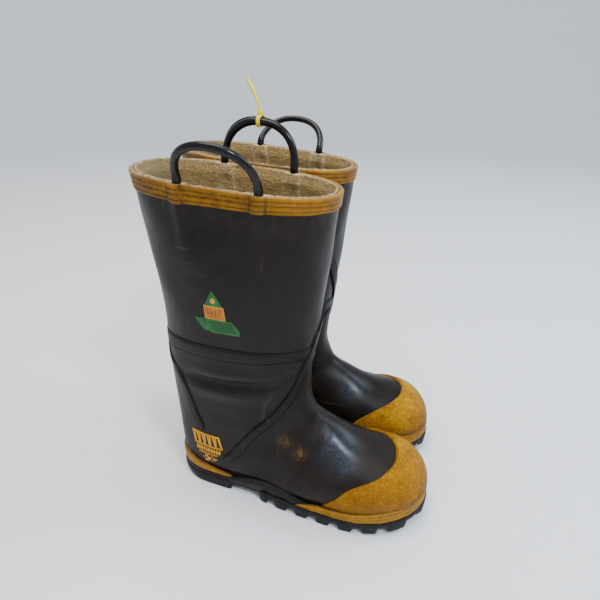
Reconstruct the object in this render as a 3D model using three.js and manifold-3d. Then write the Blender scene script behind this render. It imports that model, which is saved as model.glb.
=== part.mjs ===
// A pair of pull-on rubber fire boots, tied together at their inner handles.
// Millimetres, +Z up, +X towards the toes, +Y to the wearer's left. The right boot is modelled in its
// own frame, with its heel at x = 0 and its outer side at -y, and the left boot is its mirror image.
import * as THREE from "three";
import { mergeVertices } from "three/addons/utils/BufferGeometryUtils.js";
import Module from "manifold-3d";

const wasm = await Module();
wasm.setup();

// Driving dimensions
const BOOT_LENGTH = 308; // upper, heel to toe
const RIM_FRONT_HEIGHT = 365;
const RIM_BACK_HEIGHT = 377;
const RIM_CENTRE = 85; // along the foot
const RIM_HALF_LENGTH = 101.5;
const RIM_HALF_WIDTH = 52;
const RIM_POWER = 2.35; // how square the rim is
const SOLE_TOP = 14.7;
const UNDERSIDE = SOLE_TOP + 0.5; // of the upper
const BOOT_SPACING = 111; // heel centre to heel centre
const BOOT_STAGGER = 5; // how far the right boot stands ahead of the left
const TOE_IN = 0.5; // degrees, each boot
const GAP = 0.4; // between touching pieces

const RUBBER = 2.7; // wall of the upper
const LINING = 5; // felt and fabric
const TRIM_LIFT = 0.6; // trim stands this far off the faceted wall
const TRIM = 1.3;
const TOE_CAP_STEEL = 1.2;

const HANDLE_SPREAD = 76; // foot to foot
const HANDLE_RISE = 40; // foot axis to the middle of the tube
const HANDLE_RADIUS = 3.7;
// For each handle, how far its middle is ahead of the middle of the rim, and how far it leans
// inwards for each unit of rise.
const HANDLES = {
  right: { outer: { shift: 2, lean: -0.58 }, inner: { shift: 8, lean: 0.131 } },
  left: { outer: { shift: 12, lean: -1.1 }, inner: { shift: 8, lean: 0.131 } },
};
const WALL_SIDES = { outer: -1, inner: 1 };
const ANCHOR_LENGTH = 58;
const ANCHOR_WIDTH = 14;

const HANDLE_WALL = -(RUBBER + 1.5); // the handles stand on the middle of the rim
const FOOT_RISE = HANDLE_RADIUS + 0.7;

const LEG_END = 0.382; // seam between the leg and the ankle
const CAP_START = 0.84; // steel toe cap
const LINING_INNER = -(RUBBER + GAP + LINING);
const LEG_ROWS = [0, 0.05, 0.12, 0.2, 0.29, LEG_END];
const FOOT_ROWS = [0.44, 0.5, 0.555, 0.6, 0.635, 0.68, 0.73, 0.79, 0.85, 0.9, 0.94, 0.975];

const OUTLINE_HEIGHT = 33; // where the foot's walls stand upright
const TOE_AT = 0.5; // where the toe tip lies round the outline, whose start is the heel
const HEEL_REACH = 0.135; // how far the heel strip runs each way
const BUMPER_REACH = 0.225;
const BUMPER_TOP = 33.5;
const BAND_BOTTOM = SOLE_TOP + 0.1;
const HEEL_FRONT = 78;
const ARCH_FRONT = 118;
const ARCH_HEIGHT = 7;
const LUGS = { count: 7, pitch: 26, length: 17, toeSpring: 4 };
const BOARD = { bottom: 12.7, top: 14.3, lift: -9 };
const PUNCTURE_PLATE = { bottom: 11.4, top: 12.4, lift: -10 };
const SHANK = { bottom: 9.9, top: 11.1, from: 55, to: 165, halfWidth: 10 };
const INSOLE = { bottom: 31, top: 35, lift: -28, from: 40 };
const TIE = { clear: 0.9, thickness: 1.3, halfWidth: 2.3, head: [7.2, 6, 5], tail: 30 };

const TOE_DOME = 0.9; // share of the way from rim to toe where the rounded toe starts
const TOE_TIP_HEIGHT = 36;
const COLUMNS = 20;

// The upper is a stack of cross-sections that runs down the leg, fans round the ankle and ends at the
// toes. Each section spans from a front point to a back point in the side view, both [x, z]. centre is
// where its widest line sits, from back to front, and power is how square it is, front and back.
const SECTIONS = [
  {
    at: 0,
    front: [RIM_CENTRE + RIM_HALF_LENGTH, RIM_FRONT_HEIGHT],
    back: [RIM_CENTRE - RIM_HALF_LENGTH, RIM_BACK_HEIGHT],
    centre: 0.5,
    outer: RIM_HALF_WIDTH,
    inner: RIM_HALF_WIDTH,
    power: [RIM_POWER, RIM_POWER],
  },
  {
    at: 0.16,
    front: [181, 312],
    back: [-8, 312],
    centre: 0.5,
    outer: 53.5,
    inner: 53.5,
    power: [2.25, 2.25],
  },
  {
    at: 0.32,
    front: [173, 238],
    back: [1, 226],
    centre: 0.5,
    outer: 50,
    inner: 50,
    power: [2.2, 2.2],
  },
  {
    at: 0.43,
    front: [166, 186],
    back: [0, 158],
    centre: 0.5,
    outer: 44.5,
    inner: 44.5,
    power: [2.1, 2.2],
  },
  {
    at: 0.53,
    front: [164, 148],
    back: [3, 88],
    centre: 0.48,
    outer: 41,
    inner: 41,
    power: [2.1, 2.3],
  },
  {
    at: 0.63,
    front: [173, 116],
    back: [14, 18],
    centre: 0.42,
    outer: 41,
    inner: 39.5,
    power: [2.1, 3],
  },
  {
    at: 0.72,
    front: [202, 97],
    back: [72, UNDERSIDE],
    centre: 0.42,
    outer: 44,
    inner: 41,
    power: [2.1, 3.4],
  },
  {
    at: 0.81,
    front: [234, 82],
    back: [140, UNDERSIDE],
    centre: 0.42,
    outer: 54,
    inner: 45,
    power: [2.1, 3.6],
  },
  {
    at: TOE_DOME,
    front: [264, 75],
    back: [200, UNDERSIDE],
    centre: 0.42,
    outer: 59,
    inner: 47,
    power: [2.2, 3.4],
  },
];
const TOE_TIP = [BOOT_LENGTH - 4, TOE_TIP_HEIGHT];

const RUBBER_BLACK = { color: 0x262322, roughness: 0.5, metalness: 0 };
const SOLE_BLACK = { color: 0x1b1a19, roughness: 0.7, metalness: 0 };
const SAFETY_YELLOW = { color: 0xc98d1c, roughness: 0.6, metalness: 0 };
const TAN_FELT = { color: 0xa98d66, roughness: 0.95, metalness: 0 };
const STEEL = { color: 0xa8abad, roughness: 0.4, metalness: 1 };
const FIBREBOARD = { color: 0x8d7a5c, roughness: 0.9, metalness: 0 };
const FOAM_GREY = { color: 0x55524d, roughness: 0.95, metalness: 0 };
const TIE_YELLOW = { color: 0xe8c21e, roughness: 0.4, metalness: 0 };
const LABEL_GREEN = { color: 0x2f7a3c, roughness: 0.6, metalness: 0 };

// Evenly spaced numbers from a to b, both included.
function range(a, b, steps) {
  return Array.from({ length: steps + 1 }, (_, i) => a + ((b - a) * i) / steps);
}

function smooth(a, b, x) {
  const t = THREE.MathUtils.clamp((x - a) / (b - a), 0, 1);
  return t * t * (3 - 2 * t);
}

// A cubic through the knots that never overshoots between two of them.
function monotoneCubic(knots, values) {
  const step = knots.slice(1).map((k, i) => k - knots[i]);
  const slope = step.map((h, i) => (values[i + 1] - values[i]) / h);
  const tangent = values.map((_, i) => {
    if (i === 0) return slope[0];
    if (i === step.length) return slope[i - 1];
    if (slope[i - 1] * slope[i] <= 0) return 0;
    const before = 2 * step[i] + step[i - 1];
    const after = step[i] + 2 * step[i - 1];
    return (before + after) / (before / slope[i - 1] + after / slope[i]);
  });
  return (x) => {
    let i = 0;
    while (i < step.length - 1 && x > knots[i + 1]) i += 1;
    const h = step[i];
    const t = (x - knots[i]) / h;
    const square = t * t;
    const cube = square * t;
    return (
      (2 * cube - 3 * square + 1) * values[i] +
      (cube - 2 * square + t) * h * tangent[i] +
      (3 * square - 2 * cube) * values[i + 1] +
      (cube - square) * h * tangent[i + 1]
    );
  };
}

const knots = SECTIONS.map((section) => section.at);
const along = (read) => monotoneCubic(knots, SECTIONS.map(read));
const profile = {
  frontX: along((section) => section.front[0]),
  frontZ: along((section) => section.front[1]),
  backX: along((section) => section.back[0]),
  backZ: along((section) => section.back[1]),
  centre: along((section) => section.centre),
  outer: along((section) => section.outer),
  inner: along((section) => section.inner),
  frontPower: along((section) => section.power[0]),
  backPower: along((section) => section.power[1]),
};

// A point of the upper: s runs from the rim, 0, to the toe tip, 1, and angle runs round the section
// from the front, 0, by the inner side, a quarter turn, to the back or sole, half a turn.
function upperPoint(s, angle) {
  const sStack = Math.min(s, TOE_DOME);
  const dome = (THREE.MathUtils.clamp((s - TOE_DOME) / (1 - TOE_DOME), 0, 1) * Math.PI) / 2;
  const closing = Math.cos(dome);
  const reach = Math.sin(dome);
  const frontX = THREE.MathUtils.lerp(profile.frontX(sStack), TOE_TIP[0], reach);
  const backX = THREE.MathUtils.lerp(profile.backX(sStack), TOE_TIP[0], reach);
  const frontZ = TOE_TIP[1] + (profile.frontZ(sStack) - TOE_TIP[1] - 3 * reach) * closing;
  const backZ = TOE_TIP[1] + (profile.backZ(sStack) - TOE_TIP[1]) * closing;
  const narrowing = Math.max(closing, 0) ** 0.9 + 0.04 * reach * closing;
  const centre = profile.centre(sStack);
  const midX = backX + (frontX - backX) * centre;
  const midZ = backZ + (frontZ - backZ) * centre;
  const cosine = Math.cos(angle);
  const sine = Math.sin(angle);
  const isFront = cosine > 0;
  const power = isFront ? profile.frontPower(sStack) : profile.backPower(sStack);
  const share = Math.abs(cosine) ** (2 / power);
  const side = Math.sign(sine) * Math.abs(sine) ** (2 / power);
  const width = (sine < 0 ? profile.outer(sStack) : profile.inner(sStack)) * narrowing;
  const endX = isFront ? frontX : backX;
  const endZ = isFront ? frontZ : backZ;
  return new THREE.Vector3(midX + (endX - midX) * share, side * width, midZ + (endZ - midZ) * share);
}

// How the upper's point moves with s and with angle.
function upperSlopes(s, angle) {
  const e = 0.002;
  const low = Math.max(s - e, 0);
  const high = Math.min(s + e, 0.9985);
  const alongLeg = upperPoint(high, angle).sub(upperPoint(low, angle)).divideScalar(high - low);
  const round = upperPoint(s, angle + e).sub(upperPoint(s, angle - e)).divideScalar(2 * e);
  return { alongLeg, round };
}

// The upper's point moved outwards by lift along its normal.
function wall(s, angle, lift) {
  const { alongLeg, round } = upperSlopes(Math.min(s, 0.995), angle);
  const normal = s > 0.999 ? new THREE.Vector3(1, 0, 0) : alongLeg.cross(round).normalize();
  return upperPoint(s, angle).addScaledVector(normal, lift);
}

// A point of the surface, moved sideways from a path by a distance in millimetres.
function beside(path, t, distance) {
  const [s, angle] = path(t);
  const e = 0.01;
  const [s2, angle2] = path(t + e);
  const [s1, angle1] = path(t - e);
  const { alongLeg, round } = upperSlopes(s, angle);
  const heading = alongLeg.clone().multiplyScalar(s2 - s1).addScaledVector(round, angle2 - angle1);
  const sideways = heading.cross(alongLeg.clone().cross(round)).setLength(distance || 1e-9);
  const ss = alongLeg.dot(alongLeg);
  const rr = round.dot(round);
  const sr = alongLeg.dot(round);
  const det = ss * rr - sr * sr;
  const a = sideways.dot(alongLeg);
  const b = sideways.dot(round);
  return [s + (a * rr - b * sr) / det, angle + (b * ss - a * sr) / det];
}

// Builds a closed body from quads and triangles given as vertex numbers, facing outwards.
function body(points, faces) {
  const positions = new Float32Array(points.flatMap((p) => [p.x, p.y, p.z]));
  const indices = faces.flatMap((f) => (f.length === 3 ? f : [f[0], f[1], f[2], f[0], f[2], f[3]]));
  let volume = 0;
  for (let i = 0; i < indices.length; i += 3) {
    const [a, b, c] = [points[indices[i]], points[indices[i + 1]], points[indices[i + 2]]];
    volume += a.dot(b.clone().cross(c));
  }
  const geometry = new THREE.BufferGeometry();
  geometry.setAttribute("position", new THREE.BufferAttribute(positions, 3));
  geometry.setIndex(volume < 0 ? indices.reverse() : indices);
  return geometry;
}

// A solid skin over a patch of the upper. place(u, v) gives the patch's [s, angle], and outer and
// inner are how far its two faces stand off the upper. wrap closes it round v, and pole ends it in
// one point at u = 1.
function skin({ rows, columns, place, outer, inner, wrap = false, pole = false }) {
  const across = wrap ? columns : columns + 1;
  const deep = pole ? rows.length - 1 : rows.length;
  const points = [];
  const layer = (lift) => {
    const start = points.length;
    for (const u of rows.slice(0, deep)) {
      for (let j = 0; j < across; j += 1) {
        const [s, angle] = place(u, j / columns);
        points.push(wall(s, angle, typeof lift === "function" ? lift(s) : lift));
      }
    }
    const tip = points.length;
    if (pole) points.push(wall(1, 0, typeof lift === "function" ? lift(1) : lift));
    return { start, tip };
  };
  const top = layer(outer);
  const under = layer(inner);
  const at = (side, i, j) => side.start + i * across + (j % across);
  const faces = [];
  for (let i = 0; i < deep - 1; i += 1) {
    for (let j = 0; j < columns; j += 1) {
      faces.push([at(top, i, j), at(top, i + 1, j), at(top, i + 1, j + 1), at(top, i, j + 1)]);
      faces.push([at(under, i, j), at(under, i, j + 1), at(under, i + 1, j + 1), at(under, i + 1, j)]);
    }
  }
  for (let j = 0; j < columns; j += 1) {
    faces.push([at(top, 0, j), at(top, 0, j + 1), at(under, 0, j + 1), at(under, 0, j)]);
    const last = deep - 1;
    if (pole) {
      faces.push([at(top, last, j), top.tip, at(top, last, j + 1)]);
      faces.push([at(under, last, j), at(under, last, j + 1), under.tip]);
    } else {
      faces.push([at(top, last, j), at(under, last, j), at(under, last, j + 1), at(top, last, j + 1)]);
    }
  }
  if (!wrap) {
    for (let i = 0; i < deep - 1; i += 1) {
      faces.push([at(top, i, 0), at(under, i, 0), at(under, i + 1, 0), at(top, i + 1, 0)]);
      const far = [at(under, i + 1, columns), at(under, i, columns)];
      faces.push([at(top, i, columns), at(top, i + 1, columns), ...far]);
    }
  }
  return body(points, faces);
}

// A ring or closed sock of the upper between the given rows of s.
function sock(rows, outer, inner, pole = false) {
  const place = (u, v) => [u, v * 2 * Math.PI];
  return skin({ rows, columns: COLUMNS, place, outer, inner, wrap: true, pole });
}

// A flat strap of the given width that follows a path over the upper.
function strap(path, width, steps, outer, inner) {
  const place = (u, v) => beside(path, u, (v - 0.5) * width(u));
  return skin({ rows: range(0, 1, steps), columns: 1, place, outer, inner });
}

// The outline of the foot at the level where its walls stand upright, seen from above, traced from
// the heel round the outer side to the toe and back. u runs 0 to 1 round it.
function outlineSide(sign) {
  const levelAngle = (s) => {
    let low = 0;
    let high = Math.PI;
    for (let i = 0; i < 40; i += 1) {
      const mid = (low + high) / 2;
      if (upperPoint(s, sign * mid).z > OUTLINE_HEIGHT) low = mid;
      else high = mid;
    }
    return (low + high) / 2;
  };
  let start = SECTIONS[4].at;
  while (upperPoint(start, Math.PI).z > OUTLINE_HEIGHT) start += 0.0005;
  const samples = 160;
  const points = [];
  for (const t of range(0, 1, samples)) {
    const s = start + (1 - start) * (0.5 - Math.cos(t * Math.PI) / 2);
    const low = upperPoint(s, sign * Math.PI).z;
    if (low < OUTLINE_HEIGHT) {
      const p = upperPoint(s, sign * levelAngle(s));
      points.push(new THREE.Vector2(p.x, p.y));
    }
  }
  return points;
}

const outlineCurve = (() => {
  const outer = outlineSide(-1);
  const inner = outlineSide(1).reverse();
  const heel = (outer[0].x + inner[inner.length - 1].x) / 2 - 0.6;
  const toe = (outer[outer.length - 1].x + inner[0].x) / 2 + 0.4;
  const loop = [
    new THREE.Vector2(heel, 0),
    ...outer.filter((p) => p.y < -4),
    new THREE.Vector2(toe, 0),
    ...inner.filter((p) => p.y > 4),
  ].map((p) => new THREE.Vector3(p.x, p.y, 0));
  return new THREE.CatmullRomCurve3(loop, true, "centripetal");
})();
outlineCurve.arcLengthDivisions = 800;

// A point on the outline, moved outwards by lift, at height z.
function edge(u, lift, z) {
  const turn = ((u % 1) + 1) % 1;
  const point = outlineCurve.getPointAt(turn);
  const tangent = outlineCurve.getTangentAt(turn);
  return new THREE.Vector3(point.x + tangent.y * lift, point.y - tangent.x * lift, z);
}

// A bar through four-cornered sections, closed into a ring or capped at both ends.
function bar(sections, closed = false) {
  const count = sections.length;
  const laps = closed ? count : count - 1;
  const at = (i, k) => (i % count) * 4 + (k % 4);
  const faces = [];
  for (let i = 0; i < laps; i += 1) {
    for (let k = 0; k < 4; k += 1) {
      faces.push([at(i, k), at(i + 1, k), at(i + 1, k + 1), at(i, k + 1)]);
    }
  }
  if (!closed) {
    faces.push([at(0, 0), at(0, 1), at(0, 2), at(0, 3)]);
    faces.push([at(count - 1, 3), at(count - 1, 2), at(count - 1, 1), at(count - 1, 0)]);
  }
  return body(sections.flat(), faces);
}

// A band standing round the outline. section(u) gives its inner and outer lift, bottom and top.
function band(us, section) {
  return bar(
    us.map((u) => {
      const { inner, outer, bottom, top } = section(u);
      return [edge(u, outer, bottom), edge(u, outer, top), edge(u, inner, top), edge(u, inner, bottom)];
    }),
  );
}

// A flat plate inside the outline, cut to the stretch between two distances along the foot.
function plate(lift, bottom, top, steps, from = -Infinity, to = Infinity) {
  const points = range(0, 1, steps)
    .slice(0, -1)
    .map((u) => edge(u, lift, 0))
    .map((p) => new THREE.Vector2(THREE.MathUtils.clamp(p.x, from, to), p.y));
  const kept = points.filter((p, i) => p.distanceTo(points[(i + 1) % points.length]) > 0.05);
  const inside = kept.filter((p, i) => {
    const before = kept[(i + kept.length - 1) % kept.length];
    const after = kept[(i + 1) % kept.length];
    return !(p.x === before.x && p.x === after.x);
  });
  return prism(inside, bottom, top);
}

function prism(points, bottom, top) {
  const geometry = new THREE.ExtrudeGeometry(new THREE.Shape(points), {
    depth: top - bottom,
    bevelEnabled: false,
    curveSegments: 8,
  });
  return geometry.translate(0, 0, bottom);
}

function box(low, high) {
  const size = high.map((value, i) => value - low[i]);
  const middle = high.map((value, i) => (value + low[i]) / 2);
  return new THREE.BoxGeometry(...size).translate(...middle);
}

function toSolid(geometry) {
  const bare = geometry.clone();
  bare.deleteAttribute("normal");
  bare.deleteAttribute("uv");
  const merged = mergeVertices(bare, 1e-3);
  return new wasm.Manifold(
    new wasm.Mesh({
      numProp: 3,
      vertProperties: merged.attributes.position.array,
      triVerts: new Uint32Array(merged.index.array),
    }),
  );
}

function fromSolid(solid) {
  const mesh = solid.getMesh();
  const geometry = new THREE.BufferGeometry();
  geometry.setAttribute("position", new THREE.BufferAttribute(mesh.vertProperties, 3));
  geometry.setIndex(new THREE.BufferAttribute(mesh.triVerts, 1));
  return geometry;
}

function join(...geometries) {
  return fromSolid(geometries.map(toSolid).reduce((all, solid) => all.add(solid)));
}

function cut(geometry, ...tools) {
  return fromSolid(tools.map(toSolid).reduce((left, tool) => left.subtract(tool), toSolid(geometry)));
}

// Wall thicknesses by place: the lining thins behind the handle anchors and behind the toe cap.
function liningOuter(s) {
  const behindAnchors = 1 - smooth(0.19, 0.28, s);
  const behindCap = smooth(0.74, 0.84, s);
  return -(RUBBER + GAP + 2.9 * behindAnchors + 3.6 * behindCap);
}


// Leg tube, from the rim to the seam above the ankle.
function shaft() {
  return sock(LEG_ROWS, 0, -RUBBER);
}

// Ankle and foot in one moulding, closed at the toes.
function vamp() {
  return sock([LEG_END + 0.0025, ...FOOT_ROWS, 1], 0, -RUBBER, true);
}

function lining() {
  return sock([...LEG_ROWS, ...FOOT_ROWS, 1], liningOuter, LINING_INNER, true);
}

function topBand() {
  return sock([0, 0.022, 0.044], TRIM_LIFT + 1.2, TRIM_LIFT);
}

// Flat tape over the seam between the leg and the ankle.
function seamBand() {
  return sock([LEG_END - 0.0135, LEG_END + 0.0025, LEG_END + 0.0135], TRIM_LIFT + TRIM, TRIM_LIFT);
}

// A strap that is the same on both sides of the boot. stops are [s, angle] from its middle to one end.
function twinStrap(stops, middleAngle, width, steps) {
  const places = stops.map((_, i) => i / (stops.length - 1));
  const s = monotoneCubic(places, stops.map((stop) => stop[0]));
  const angle = monotoneCubic(places, stops.map((stop) => stop[1]));
  const path = (t) => {
    const way = 2 * t - 1;
    return [s(Math.abs(way)), middleAngle + Math.sign(way) * angle(Math.abs(way))];
  };
  return strap(path, () => width, steps, TRIM_LIFT + TRIM, TRIM_LIFT);
}

// Tape that crosses the shin and runs down both sides to the heel.
function ankleStrap() {
  const stops = [[0.425, 0], [0.43, 0.3], [0.46, 0.55], [0.52, 0.84], [0.58, 1.12], [0.63, 1.45]];
  return twinStrap(stops, 0, 9, 24);
}

// Tape that leaves the back of the leg and runs down both sides to above the heel.
function backStrap() {
  const stops = [[0.405, 0], [0.415, 0.4], [0.44, 0.78], [0.49, 0.97], [0.53, 1.13], [0.55, 1.25]];
  return twinStrap(stops, Math.PI, 8, 18);
}

// Rubber cover over the toes. Its rear edge is furthest forward on top and runs back along the sides.
function toeGuard() {
  const rear = (angle) => 0.872 + 0.028 * Math.max(Math.cos(angle + 0.35), 0);
  const place = (u, v) => {
    const angle = v * 2 * Math.PI;
    return [THREE.MathUtils.lerp(rear(angle), 1, u), angle];
  };
  const shell = skin({
    rows: [0, 0.2, 0.4, 0.6, 0.78, 0.92, 1],
    columns: COLUMNS,
    place,
    outer: TRIM_LIFT + 2.6,
    inner: TRIM_LIFT + 1.2,
    wrap: true,
    pole: true,
  });
  return cut(shell, box([0, -90, -10], [BOOT_LENGTH + 30, 90, BUMPER_TOP + GAP]));
}


// Yellow strip round the toes below the guard, pointed at both ends.
function toeBumper() {
  const us = range(TOE_AT - BUMPER_REACH, TOE_AT + BUMPER_REACH, 26);
  return band(us, (u) => {
    const taper = 1 - Math.abs((u - TOE_AT) / BUMPER_REACH) ** 5;
    const top = THREE.MathUtils.lerp(BAND_BOTTOM + 1.5, BUMPER_TOP, taper);
    return { inner: TRIM_LIFT, outer: 3.2, bottom: BAND_BOTTOM, top };
  });
}

// Black rubber wall above the sole, from the end of the bumper round the heel to its other end.
function foxing() {
  const us = range(TOE_AT + BUMPER_REACH + 0.003, TOE_AT + 1 - BUMPER_REACH - 0.003, 26);
  return band(us, (u) => {
    const fromHeel = Math.abs(u - 1) / (0.5 - BUMPER_REACH);
    const arch = smooth(0.5, 0.72, fromHeel) * (1 - smooth(0.78, 1, fromHeel));
    return { inner: TRIM_LIFT, outer: 2.8, bottom: BAND_BOTTOM, top: 20 + 13 * arch };
  });
}

// Yellow crescent on the heel, above the foxing.
function heelStrip() {
  const us = range(1 - HEEL_REACH, 1 + HEEL_REACH, 18);
  return band(us, (u) => {
    const taper = 1 - Math.abs((u - 1) / HEEL_REACH) ** 2.5;
    return { inner: TRIM_LIFT + 0.2, outer: 3.2, bottom: 20.4, top: 22 + 12 * taper };
  });
}


// Lugged sole and heel block, with a recess on top for the plates.
function outsole() {
  const tread = plate(4, ARCH_HEIGHT, SOLE_TOP - 0.3, 48);
  const heel = plate(3.2, 0, ARCH_HEIGHT + 0.5, 48, -Infinity, HEEL_FRONT);
  const lugs = [];
  for (let i = 0; i < LUGS.count; i += 1) {
    const from = ARCH_FRONT + 6 + i * LUGS.pitch;
    const bottom = LUGS.toeSpring * smooth(200, BOOT_LENGTH, from);
    lugs.push(plate(4.6, bottom, ARCH_HEIGHT + 0.5, 64, from, from + LUGS.length));
  }
  const midsole = plate(-8, ARCH_HEIGHT - 3, ARCH_HEIGHT + 0.5, 32, ARCH_FRONT + 2, BOOT_LENGTH - 12);
  const recess = plate(BOARD.lift + GAP + 0.6, PUNCTURE_PLATE.bottom - GAP, SOLE_TOP + 5, 32);
  const { from, to, halfWidth, bottom } = SHANK;
  const groove = box([from - GAP, -halfWidth - GAP, bottom - GAP], [to + GAP, halfWidth + GAP, SOLE_TOP]);
  return cut(join(tread, heel, midsole, ...lugs), recess, groove);
}

function insoleBoard() {
  return plate(BOARD.lift, BOARD.bottom, BOARD.top, 32);
}

function puncturePlate() {
  return plate(PUNCTURE_PLATE.lift, PUNCTURE_PLATE.bottom, PUNCTURE_PLATE.top, 32);
}

function shank() {
  const { from, to, halfWidth, bottom, top } = SHANK;
  return box([from, -halfWidth, bottom], [to, halfWidth, top]);
}

function toeCap() {
  const reach = 6; // columns each way from the middle of the top
  const place = (u, v) => [u, ((2 * v - 1) * reach * 2 * Math.PI) / COLUMNS];
  const outer = -(RUBBER + 1.2);
  const rows = FOOT_ROWS.filter((row) => row > CAP_START);
  return skin({ rows, columns: 2 * reach, place, outer, inner: outer - TOE_CAP_STEEL });
}

// Removable footbed on the lining.
function insole() {
  return plate(INSOLE.lift, INSOLE.bottom, INSOLE.top, 32, INSOLE.from);
}

// Angle of a handle's foot round the rim, at its rear (-1) or front (1) end.
function handleFoot(side, place, end) {
  const offset = HANDLES[side][place].shift + (end * HANDLE_SPREAD) / 2;
  const share = Math.abs(offset) / RIM_HALF_LENGTH;
  const angle = Math.acos(Math.sign(offset) * share ** (RIM_POWER / 2));
  return WALL_SIDES[place] * angle;
}

function handleFrame(side, place) {
  const { lean } = HANDLES[side][place];
  const rear = wall(0, handleFoot(side, place, -1), HANDLE_WALL);
  const front = wall(0, handleFoot(side, place, 1), HANDLE_WALL);
  const axis = front.clone().sub(rear).normalize();
  const rise = new THREE.Vector3(0, lean, 1).addScaledVector(axis, -axis.z).normalize();
  rear.z += FOOT_RISE;
  front.z += FOOT_RISE;
  return { rear, front, axis, rise };
}

// A loop of rubber tube that stands on the rim.
function handle(side, place) {
  const { rear, front, axis, rise } = handleFrame(side, place);
  const middle = rear.clone().add(front).multiplyScalar(0.5);
  const half = rear.distanceTo(front) / 2;
  const squareness = 2 / 2.25;
  const points = range(0, Math.PI, 16).map((t) => {
    const across = -Math.sign(Math.cos(t)) * Math.abs(Math.cos(t)) ** squareness * half;
    const up = Math.sin(t) ** squareness * HANDLE_RISE;
    return middle.clone().addScaledVector(axis, across).addScaledVector(rise, up);
  });
  const circle = new THREE.Shape().absarc(0, 0, HANDLE_RADIUS, 0, 2 * Math.PI);
  const tube = new THREE.ExtrudeGeometry(circle, {
    extrudePath: new THREE.CatmullRomCurve3(points, false, "centripetal"),
    steps: 16,
    curveSegments: 4,
  });
  const ball = () => new THREE.SphereGeometry(HANDLE_RADIUS + 0.15, 8, 6);
  return join(
    tube,
    ball().translate(rear.x, rear.y, rear.z),
    ball().translate(front.x, front.y, front.z),
  );
}

// Flattened end of a handle, moulded between the rubber wall and the lining.
function handleAnchor(side, place, end) {
  const angle = handleFoot(side, place, end);
  const length = ANCHOR_LENGTH / 345;
  const path = (t) => [0.006 + t * length, angle];
  return strap(path, () => ANCHOR_WIDTH, 3, -(RUBBER + 1.05), -(RUBBER + 2.4));
}

// Small moulded badge on the outer side of the heel and printed label on the leg.
function patch(sRange, angleRange, thickness) {
  const place = (u, v) => [
    THREE.MathUtils.lerp(sRange[0], sRange[1], u),
    THREE.MathUtils.lerp(angleRange[0], angleRange[1], v),
  ];
  return skin({ rows: range(0, 1, 3), columns: 3, place, outer: TRIM_LIFT + thickness, inner: TRIM_LIFT });
}

function heelBadge() {
  return patch([0.568, 0.612], [-2.28, -1.7], 0.6);
}

function legLabel() {
  return patch([0.225, 0.33], [-1.93, -1.42], 0.4);
}

function mesh(name, geometry, look) {
  const flat = geometry.clone();
  flat.computeVertexNormals();
  const made = new THREE.Mesh(flat, new THREE.MeshStandardMaterial(look));
  made.name = name;
  return made;
}


function boot(side) {
  const group = new THREE.Group();
  const add = (name, geometry, look) => group.add(mesh(`${side}_${name}`, geometry, look));
  add("outsole", outsole(), SOLE_BLACK);
  add("insole_board", insoleBoard(), FIBREBOARD);
  add("puncture_plate", puncturePlate(), STEEL);
  add("shank", shank(), STEEL);
  add("vamp", vamp(), RUBBER_BLACK);
  add("shaft", shaft(), RUBBER_BLACK);
  add("lining", lining(), TAN_FELT);
  add("insole", insole(), FOAM_GREY);
  add("steel_toe_cap", toeCap(), STEEL);
  add("toe_guard", toeGuard(), SAFETY_YELLOW);
  add("toe_bumper", toeBumper(), SAFETY_YELLOW);
  add("foxing", foxing(), SOLE_BLACK);
  add("heel_strip", heelStrip(), SAFETY_YELLOW);
  add("top_band", topBand(), SAFETY_YELLOW);
  add("seam_band", seamBand(), RUBBER_BLACK);
  add("ankle_strap", ankleStrap(), RUBBER_BLACK);
  add("back_strap", backStrap(), RUBBER_BLACK);
  add("heel_badge", heelBadge(), SAFETY_YELLOW);
  add("leg_label", legLabel(), LABEL_GREEN);
  for (const place of ["outer", "inner"]) {
    add(`${place}_handle`, handle(side, place), RUBBER_BLACK);
    add(`${place}_anchor_rear`, handleAnchor(side, place, -1), RUBBER_BLACK);
    add(`${place}_anchor_front`, handleAnchor(side, place, 1), RUBBER_BLACK);
  }
  return group;
}

const pair = new THREE.Group();
const right = boot("right");
right.position.set(BOOT_STAGGER / 2, -BOOT_SPACING / 2, 0);
right.rotation.z = THREE.MathUtils.degToRad(TOE_IN);
const left = boot("left");
left.position.set(-BOOT_STAGGER / 2, BOOT_SPACING / 2, 0);
left.rotation.z = THREE.MathUtils.degToRad(-TOE_IN);
left.scale.y = -1;
pair.add(right, left);
pair.updateMatrixWorld(true);

// The middle of the top of an inner handle's tube, in the pair's frame.
function handleTop(side, group) {
  const { rear, front, rise } = handleFrame(side, "inner");
  const top = rear.clone().add(front).multiplyScalar(0.5).addScaledVector(rise, HANDLE_RISE);
  return top.applyMatrix4(group.matrixWorld);
}

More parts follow.
